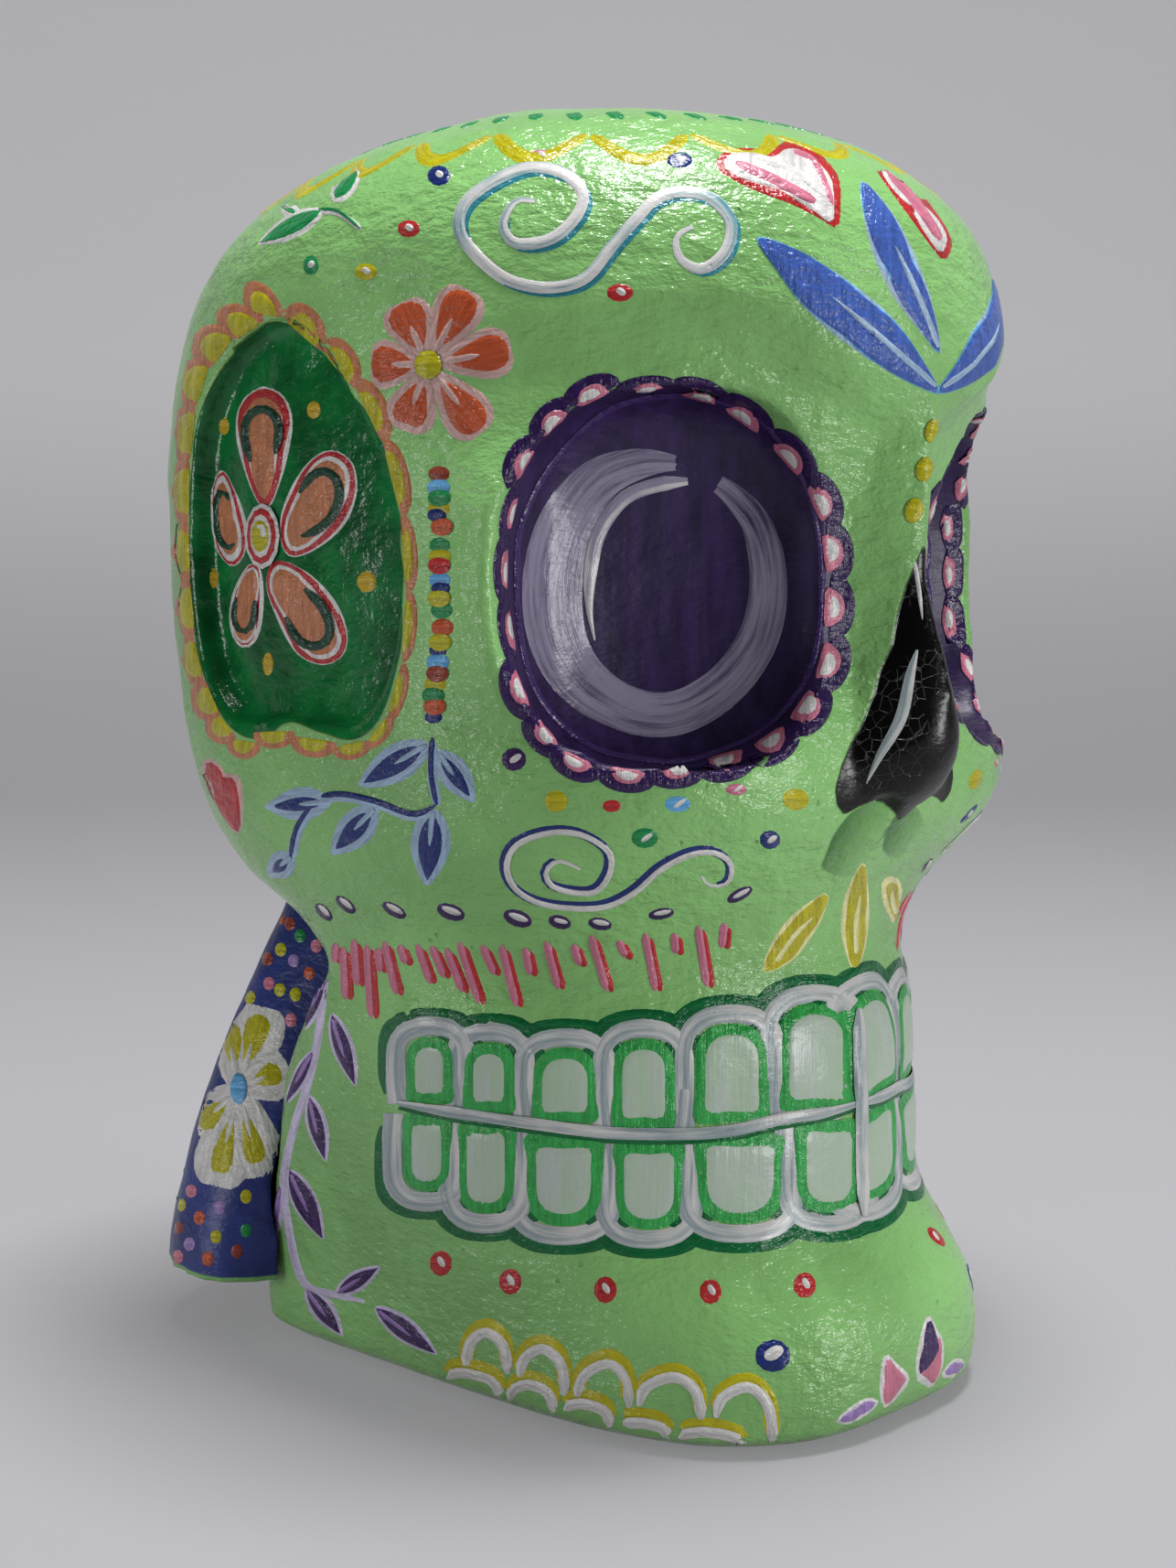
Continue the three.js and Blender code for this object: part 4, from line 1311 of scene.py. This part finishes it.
class SKULL_OT_cheeks(bpy.types.Operator):
    """Paint the beads, vine, swirl, dots, ovals and dashes of the cheeks"""

    bl_idname = "skull.cheeks"
    bl_label = "Cheeks"

    BEADS = (
        ("brown", 480, 518), ("sky", 480, 533), ("leaf_green", 481, 544), ("yellow", 480, 556), ("navy", 478, 563),
        ("orange", 484, 576), ("leaf_green", 481, 596), ("yellow", 481, 609), ("red", 481, 618), ("sky", 481, 634),
        ("navy", 482, 643), ("yellow", 481, 654), ("leaf_green", 483, 667), ("orange", 484, 686),
        ("yellow", 482, 702), ("navy", 479, 711), ("sky", 479, 724), ("brown", 479, 736), ("yellow", 476, 748),
        ("leaf_green", 474, 760), ("orange", 476, 772), ("navy", 474, 784),
    )
    SWIRL = (
        (632, 948), (608, 939), (594, 951), (602, 967), (632, 974), (652, 970), (665, 948), (661, 927), (632, 910),
        (599, 908), (564, 920), (551, 942), (558, 966), (582, 983), (617, 990), (658, 989), (690, 974), (720, 948),
        (752, 932), (778, 930), (796, 942), (793, 963), (773, 966), (764, 955),
    )
    # Paint, place, half-width, half-height, and whether a painted white highlight sits on each dot
    DOTS = (
        ("violet", 562, 830, 14, 14, 1), ("yellow", 608, 876, 13, 13, 0), ("red", 669, 881, 11, 8, 0),
        ("sky", 741, 879, 15, 10, 1), ("pink", 805, 863, 12, 7, 1), ("yellow", 870, 874, 15, 13, 0),
        ("leaf_green", 705, 916, 15, 12, 1), ("navy", 842, 918, 12, 12, 1),
    )
    OVALS = (
        (354, 997, 13, 7, 45), (378, 989, 14, 7, 40), (431, 995, 16, 8, 30), (493, 997, 17, 10, 20),
        (566, 1004, 17, 10, 20), (612, 1008, 13, 8, 15), (656, 1010, 14, 8, 10), (723, 999, 15, 7, -10),
        (809, 978, 16, 7, -28),
    )
    DASHES = (
        (368, 1031, 368, 1055), (376, 1035, 380, 1095), (388, 1027, 393, 1080), (402, 1033, 408, 1115),
        (414, 1036, 418, 1065), (421, 1029, 436, 1090), (438, 1033, 446, 1056), (457, 1032, 473, 1078),
        (473, 1034, 488, 1071), (489, 1037, 508, 1087), (503, 1030, 526, 1099), (528, 1033, 543, 1068),
        (549, 1033, 567, 1103), (575, 1036, 582, 1068), (598, 1029, 613, 1084), (628, 1032, 636, 1058),
        (647, 1022, 666, 1086), (677, 1028, 687, 1049), (706, 1020, 719, 1086), (738, 1020, 741, 1045),
        (764, 1012, 775, 1081), (793, 1009, 791, 1039),
    )
    # Outline and vein of each leaf above the lip
    LIP_LEAVES = (
        (((833, 1066), (838, 1040), (856, 1010), (880, 988), (908, 973), (902, 1000), (886, 1028), (864, 1054)),
         ((846, 1053), (868, 1022), (890, 1000))),
        (((935, 1065), (925, 1045), (919, 1015), (922, 985), (932, 958), (946, 939), (950, 970), (951, 1005),
          (946, 1040)), ((935, 1045), (935, 1010), (940, 975))),
        (((964, 966), (972, 957), (984, 962), (988, 985), (984, 1016), (972, 1002), (965, 984)),
         ((979, 1000), (975, 985), (975, 972))),
    )
    STEMS = (
        ((476, 880), (452, 890), (411, 876), (373, 868), (345, 872)), ((473, 806), (472, 845), (478, 880)),
        ((345, 874), (325, 905), (318, 938)),
    )
    LEAVES = (
        ((470, 812), (391, 860), 20), ((478, 820), (519, 877), 16), ((474, 882), (467, 970), 22),
        ((412, 882), (362, 934), 19), ((362, 876), (290, 882), 17), ((320, 935), (293, 958), 15),
    )
    HEART = (
        (262, 914), (240, 893), (221, 862), (216, 838), (226, 827), (240, 834), (247, 846), (256, 844), (265, 856),
        (267, 885),
    )

    def execute(self, context):
        paint = head_paint("cheek_paint")
        for i, (pot_name, x, y) in enumerate(self.BEADS):
            less = 2 * (pot_name == "navy")
            paint.dot(pot_name, (x, y), 12.5 - less, 10 - less, 0, i % 3)
        paint.touch("navy", self.SWIRL, 6)
        paint.touch("white", [(x + 3, y + 2) for x, y in self.SWIRL], 3.5, brush_end, 1)
        for pot_name, x, y, wide, high, gleam in self.DOTS:
            paint.dot(pot_name, (x, y), wide, high)
            # A painted highlight: a white spot on the upper right of the dot
            if gleam:
                paint.dot("white", (x + 2, y - 1), wide * 0.55, high * 0.3, -35, 1)
        for x, y, wide, high, turn in self.OVALS:
            paint.dot("violet", (x, y), wide, high, turn)
            paint.dot("white", (x + 1, y - 2), wide * 0.68, high * 0.42, turn, 1)
        for x0, y0, x1, y1 in self.DASHES:
            paint.touch("red", ((x0 + 4, y0 + 4), (x1 + 4, y1)), 4.5)
            paint.touch("pink", ((x0 - 1, y0), (x1 - 2, y1 - 3)), 4.5, brush_end, 1)
        self.vine(paint)
        paint.layers(self.HEART, ("pale_pink", 0), ("red", 5))
        paint.mirror()
        for outline, vein in self.LIP_LEAVES:
            paint.layers(outline, ("cream", 0), ("yellow", 5))
            paint.touch("cream", vein, 3, tail_end, 2)
        paint.dry()
        return {"FINISHED"}

    def vine(self, paint):
        """Navy stems and leaves with a pale edge."""
        for path in self.STEMS:
            paint.touch("pale_blue", [(x + 1, y + 3) for x, y in path], 6)
            paint.touch("navy", path, 3.5, brush_end, 1)
        for base, tip, width in self.LEAVES:
            paint.leaf("pale_blue", base, tip, width, 0, 2)
            paint.leaf("navy", base, tip, width, 1, -7)
            paint.vein("pale_blue", base, tip, 0.05, 0.5, 3.2, 2)


class SKULL_OT_nose(bpy.types.Operator):
    """Paint the highlights of the nose"""

    bl_idname = "skull.nose"
    bl_label = "Nose"

    def execute(self, context):
        paint = head_paint("nose_paint")
        paint.touch("tooth_band", ((1005, 703), (996, 735), (985, 785), (961, 828), (945, 862)), 8, leaf_end)
        paint.touch("white", ((1000, 612), (1005, 645), (1009, 680)), 2.6, tail_end)
        paint.dry()
        return {"FINISHED"}


class SKULL_OT_teeth(bpy.types.Operator):
    """Paint the outlined teeth"""

    bl_idname = "skull.teeth"
    bl_label = "Teeth"

    UPPER = (
        (444, 498, 1132, 1206), (506, 565, 1138, 1217), (581, 655, 1144, 1227), (668, 739, 1134, 1234),
        (758, 841, 1118, 1228), (850, 932, 1096, 1214),
    )
    LOWER = (
        (440, 496, 1303, 1217), (500, 565, 1327, 1226), (573, 661, 1341, 1239), (670, 749, 1345, 1248),
        (759, 858, 1339, 1240), (868, 942, 1327, 1224),
    )
    BITE = (
        (437, 1205), (500, 1216), (576, 1227), (661, 1238), (742, 1240), (800, 1236), (850, 1224), (900, 1216),
        (939, 1205),
    )
    MIDDLE = ((937, 1102), (938, 1160), (940, 1206), (940, 1270), (943, 1330))

    def execute(self, context):
        paint = head_paint("tooth_paint")
        rows = self.UPPER + self.LOWER
        for tooth in rows:
            paint.touch("tooth_dark", self.arch(tooth, 22)[1:], 10)
        for tooth in rows:
            paint.touch("tooth_band", self.arch(tooth, 11)[1:], 11, even_end, 1)
        for tooth in rows:
            paint.patch("tooth_green", self.arch(tooth, -1), 2)
            paint.patch("tooth_fill", self.arch(tooth, -11), 3)
        paint.touch("tooth_dark", [(x, y + 6) for x, y in self.BITE], 5, brush_end, 3)
        paint.touch("tooth_band", self.BITE, 7, brush_end, 4)
        paint.mirror()
        paint.touch("tooth_band", self.MIDDLE, 7, brush_end, 5)
        paint.dry()
        return {"FINISHED"}

    def arch(self, tooth, grow):
        """Outline of a tooth from its root round its gum end, grown all round by some pixels."""
        x0, x1, gum, bite = tooth
        way = 1 if bite > gum else -1
        half = (x1 - x0) / 2 + grow
        middle = (x0 + x1) / 2
        cap = min(half, abs(bite - gum) * 0.42)
        top = gum - way * grow
        foot = bite + way * min(grow, 0)
        turns = [math.pi * step / 8 for step in range(1, 8)]
        arc = [(middle - half * math.copysign(abs(math.cos(a)) ** 0.85, math.cos(a)),
                top + way * cap * (1 - math.sin(a) ** 0.85)) for a in turns]
        waist = (foot + top + way * cap) / 2
        return [(middle, foot), (middle - half + 2, foot), (middle - half, waist), (middle - half, top + way * cap),
                *arc, (middle + half, top + way * cap), (middle + half, waist), (middle + half - 2, foot)]


class SKULL_OT_jaw(bpy.types.Operator):
    """Paint the dots, scallops, petals and vine of the jaw"""

    bl_idname = "skull.jaw"
    bl_label = "Jaw"

    DOTS = ((482, 1381), (558, 1401), (662, 1410), (777, 1412), (880, 1405))
    ARCHES = (
        ((510, 1500), (531, 1456), (555, 1502)), ((569, 1508), (594, 1474), (618, 1526)),
        ((631, 1534), (665, 1490), (688, 1539)), ((699, 1537), (738, 1505), (767, 1555)),
        ((783, 1550), (819, 1516), (845, 1581)),
    )
    LOW_ARCHES = (
        ((490, 1508), (508, 1500), (547, 1529)), ((558, 1531), (579, 1513), (605, 1544)),
        ((618, 1542), (639, 1534), (667, 1560)), ((681, 1555), (704, 1555), (730, 1573)),
        ((743, 1573), (772, 1565), (814, 1586)),
    )
    STEM = (
        (358, 1050), (352, 1100), (345, 1150), (335, 1190), (322, 1230), (312, 1275), (310, 1300), (315, 1340),
        (325, 1385), (338, 1408), (365, 1415), (408, 1425),
    )
    LEAVES = (
        ((357, 1062), (333, 1128), 11), ((362, 1105), (390, 1190), 14), ((345, 1145), (311, 1210), 11),
        ((338, 1195), (357, 1272), 13), ((315, 1275), (355, 1358), 16), ((308, 1290), (293, 1375), 9),
        ((365, 1416), (418, 1383), 13), ((333, 1405), (376, 1462), 14), ((408, 1427), (480, 1482), 15),
    )
    LILAC_PETAL = ((912, 1556), (925, 1541), (948, 1527), (963, 1531), (950, 1546), (930, 1557))
    PINK_PETAL = ((966, 1541), (961, 1515), (967, 1479), (982, 1490), (996, 1506), (984, 1526))
    MIDDLE_PETAL = ((1003, 1508), (1002, 1480), (1014, 1436), (1026, 1454), (1032, 1474), (1020, 1495))

    def execute(self, context):
        paint = head_paint("jaw_paint")
        # Red dots and one navy dot, each with a painted white highlight on its upper side
        for x, y in self.DOTS:
            paint.dot("red", (x, y), 13, 16)
            paint.dot("white", (x + 1, y - 2), 7, 4, 60, 1)
        paint.dot("navy", (845, 1482), 20, 19)
        paint.dot("white", (846, 1479), 12, 8, -30, 1)
        for arches in (self.LOW_ARCHES, self.ARCHES):
            for a, top, b in arches:
                bow = (a, ((a[0] * 3 + top[0]) / 4 - 2, (a[1] + top[1] * 2) / 3), top,
                       ((b[0] * 3 + top[0]) / 4 + 2, (b[1] + top[1] * 2) / 3), b)
                paint.touch("yellow", [(x, y - 7) for x, y in bow], 10, even_end)
                paint.touch("white", bow, 6.5, brush_end, 1)
        paint.touch("pale_lilac", self.STEM, 5)
        for base, tip, width in self.LEAVES:
            paint.leaf("pale_lilac", base, tip, width)
            paint.leaf("lilac", base, tip, width, 1, -4)
            paint.leaf("violet", base, tip, width, 2, -5.5)
            paint.vein("lilac", base, tip, 0.1, 0.62, 2.6, 3)
        paint.layers(self.LILAC_PETAL, ("white", 0), ("lilac", 5))
        paint.layers(self.PINK_PETAL, ("white", 0), ("pink", 5))
        paint.mirror()
        paint.layers(self.MIDDLE_PETAL, ("white", 0), ("violet", 5))
        paint.dry()
        return {"FINISHED"}


class SKULL_OT_neck_paint(bpy.types.Operator):
    """Paint the dots and flowers of the neck"""

    bl_idname = "skull.neck_paint"
    bl_label = "Neck Ornament"

    DOTS = (
        ("orange", 306, 1004), ("brown", 317, 1010), ("leaf_green", 328, 1023), ("pink", 346, 1034),
        ("yellow", 307, 1038), ("brown", 292, 1048), ("lilac", 321, 1050), ("orange", 338, 1064),
        ("pink", 294, 1075), ("yellow", 306, 1082), ("yellow", 323, 1087), ("yellow", 273, 1090),
        ("pink", 318, 1115), ("yellow", 197, 1278), ("pink", 209, 1302), ("leaf_green", 187, 1308),
        ("yellow", 197, 1317), ("lilac", 240, 1320), ("yellow", 269, 1308), ("orange", 218, 1331),
        ("brown", 194, 1342), ("yellow", 236, 1352), ("leaf_green", 269, 1345), ("lilac", 207, 1360),
        ("brown", 259, 1368), ("pink", 194, 1374), ("orange", 227, 1376),
    )
    PETAL_TIPS = ((288, 1102), (248, 1110), (312, 1168), (214, 1236), (237, 1294), (284, 1282))
    BACK_POTS = ("yellow", "pink", "orange", "leaf_green", "brown", "lilac", "yellow")

    def execute(self, context):
        paint = Paint("neck_paint", PhotoCanvas(NECK_SKIN), "painted_neck")
        for pot_name, x, y in self.DOTS:
            paint.dot(pot_name, (x, y), 6.5, 8.5)
        middle = Vector((262, 1190))
        for tip in self.PETAL_TIPS:
            paint.leaf("white", middle, tip, 26, 0, 7, petal_end)
        for tip in self.PETAL_TIPS:
            way = Vector(tip) - middle
            paint.leaf("yellow", middle + way * 0.3, middle + way * 0.92, 15, 1, end=petal_end)
            paint.vein("white", middle, tip, 0.2, 0.6, 3, 2)
        paint.dot("sky", middle, 9, 17, 0, 3)
        paint.mirror()
        paint.dry()
        self.back()
        return {"FINISHED"}

    def back(self):
        """Goes on with the dots round the back, which the photograph doesn't show."""
        paint = Paint("neck_back_paint", BackCanvas(NECK_SKIN), "painted_neck")
        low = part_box("neck_right_half")[0].z / MM
        for row in range(9):
            for step in range(-3, 4):
                pot_name = self.BACK_POTS[(row * 3 + step) % len(self.BACK_POTS)]
                height = low + 7 + row * 9 + 2 * math.sin(step * 2.1 + row)
                paint.dot(pot_name, (step * 8.5 + 4 * (row % 2), height), 1.3, 1.6)
        paint.dry()


class SKULL_OT_stage(bpy.types.Operator):
    """Set up the floor, the soft lights and the camera"""

    bl_idname = "skull.stage"
    bl_label = "Stage"

    # Sweep in metres: floor in front, start and radius of the bend, whole length and half of the breadth
    FRONT, START, BEND, LONG, BROAD = 1.6, 1.3, 0.9, 5.2, 6
    FADE = 0.45  # height at which the floor's shade has become the backdrop's
    AIM = Vector((0, 0, 0.13))  # where the lamps look
    # Name, place as the camera sees it, size and power of each lamp
    LAMPS = (
        ("top_softbox", (0.1, -0.05, 1.25), 0.36, "top_power"),
        ("key_softbox", (-1.2, -0.45, 0.12), 0.4, "key_power"),
        ("side_softbox", (1.1, -0.55, 0.2), 0.4, "side_power"),
    )

    def execute(self, context):
        studio = context.scene.skull_studio
        turn = Matrix.Rotation(studio.azimuth, 3, "Z")
        self.sweep(studio, turn)
        self.lamps(studio, turn)
        self.world(context.scene)
        self.camera(context.scene)
        context.scene.view_settings.view_transform = "Standard"
        return {"FINISHED"}

    def sweep(self, studio, turn):
        """A floor that curves up into a backdrop behind the skull, as the camera sees it."""
        bm = bmesh.new()
        bmesh.ops.create_grid(bm, x_segments=40, y_segments=80, size=1)
        for vert in bm.verts:
            along = (vert.co.y + 1) / 2 * self.LONG - self.FRONT
            angle = min(max((along - self.START) / self.BEND, 0), math.pi / 2)
            rest = max(along - self.START - self.BEND * math.pi / 2, 0)
            y = min(along, self.START) + self.BEND * math.sin(angle)
            z = self.BEND * (1 - math.cos(angle)) + rest
            vert.co = turn @ Vector((vert.co.x * self.BROAD, y, z))
        for face in bm.faces:
            face.smooth = True
        mesh = bpy.data.meshes.new("sweep")
        bm.to_mesh(mesh)
        bm.free()
        mesh.materials.append(self.sweep_finish(studio))
        floor = bpy.data.objects.new("sweep", mesh)
        bpy.context.scene.collection.objects.link(floor)

    def sweep_finish(self, studio):
        """Matt paper, which the camera and the varnish see partly by its own shade."""
        finish, where = new_finish("pale_sweep")
        rise = finish.add("ShaderNodeSeparateXYZ", {}, {0: where}, out=2).clear_of(0.0, self.FADE)
        colour = finish.mix([*studio.floor, 1], [*studio.wall, 1], rise)
        colour = finish.mix(colour, [0, 0, 0, 1], finish.noise(where, 3, 2) * 0.03)
        seen = sum(
            finish.add("ShaderNodeLightPath", out=ray)
            for ray in ("Is Camera Ray", "Is Glossy Ray", "Is Transmission Ray")
        )
        lit = finish.add("ShaderNodeBsdfDiffuse", {}, {"Color": colour})
        shade = finish.mix([*studio.mist, 1], [*studio.haze, 1], rise)
        own = finish.add("ShaderNodeEmission", {}, {"Color": shade})
        both = finish.add("ShaderNodeMixShader", {}, {0: seen * studio.glow, 1: lit, 2: own})
        finish.add("ShaderNodeOutputMaterial", {}, {"Surface": both})
        return finish.owner

    def lamps(self, studio, turn):
        """Soft square lamps that look at the skull."""
        for name, place, size, power in self.LAMPS:
            light = bpy.data.lights.new(name, "AREA")
            light.energy = getattr(studio, power)
            light.size = size
            lamp = bpy.data.objects.new(name, light)
            lamp.location = turn @ Vector(place)
            lamp.rotation_euler = (self.AIM - lamp.location).to_track_quat("-Z", "Y").to_euler()
            bpy.context.scene.collection.objects.link(lamp)

    def world(self, scene):
        """Even light all round, of which the varnish mirrors only a share."""
        scene.world = bpy.data.worlds.new("studio")
        finish = Finish(scene.world)
        ambient = scene.skull_studio.ambient
        strength = finish.add("ShaderNodeMapRange", {}, {
            "Value": finish.add("ShaderNodeLightPath", out="Is Glossy Ray"),
            "To Min": ambient, "To Max": ambient * scene.skull_studio.gleam,
        })
        light = finish.add("ShaderNodeBackground", {}, {"Color": (0.97, 0.98, 1, 1), "Strength": strength})
        finish.add("ShaderNodeOutputWorld", {}, {"Surface": light})

    def camera(self, scene):
        """The photograph's camera."""
        data = bpy.data.cameras.new("photo_camera")
        data.sensor_fit = "VERTICAL"
        data.sensor_height = 36
        data.lens = scene.skull_studio.focal * data.sensor_height / PHOTO_HEIGHT
        data.clip_start = 0.01
        camera = bpy.data.objects.new("photo_camera", data)
        camera.matrix_world = camera_matrix()
        scene.collection.objects.link(camera)
        scene.camera = camera


OPERATORS = (
    SKULL_OT_head, SKULL_OT_neck, SKULL_OT_strips, SKULL_OT_eyes, SKULL_OT_temples, SKULL_OT_forehead,
    SKULL_OT_crown, SKULL_OT_cheeks, SKULL_OT_nose, SKULL_OT_teeth, SKULL_OT_jaw, SKULL_OT_neck_paint,
    SKULL_OT_stage,
)


class SKULL_PT_panel(bpy.types.Panel):
    """Lists the skull's pieces"""

    bl_idname = "SKULL_PT_panel"
    bl_label = "Sugar Skull"
    bl_space_type = "VIEW_3D"
    bl_region_type = "UI"
    bl_category = "Skull"

    def draw(self, context):
        for operator in OPERATORS:
            self.layout.operator(operator.bl_idname)


CLASSES = (SkullShape, PaintPots, StudioSettings, *OPERATORS, SKULL_PT_panel)


def register():
    for cls in CLASSES:
        bpy.utils.register_class(cls)
    bpy.types.Scene.skull_shape = PointerProperty(type=SkullShape)
    bpy.types.Scene.skull_pots = PointerProperty(type=PaintPots)
    bpy.types.Scene.skull_studio = PointerProperty(type=StudioSettings)


def unregister():
    del bpy.types.Scene.skull_shape
    del bpy.types.Scene.skull_pots
    del bpy.types.Scene.skull_studio
    for cls in reversed(CLASSES):
        bpy.utils.unregister_class(cls)


def main():
    register()
    for operator in OPERATORS:
        group, name = operator.bl_idname.split(".")
        getattr(getattr(bpy.ops, group), name)()


if __name__ == "__main__":
    main()
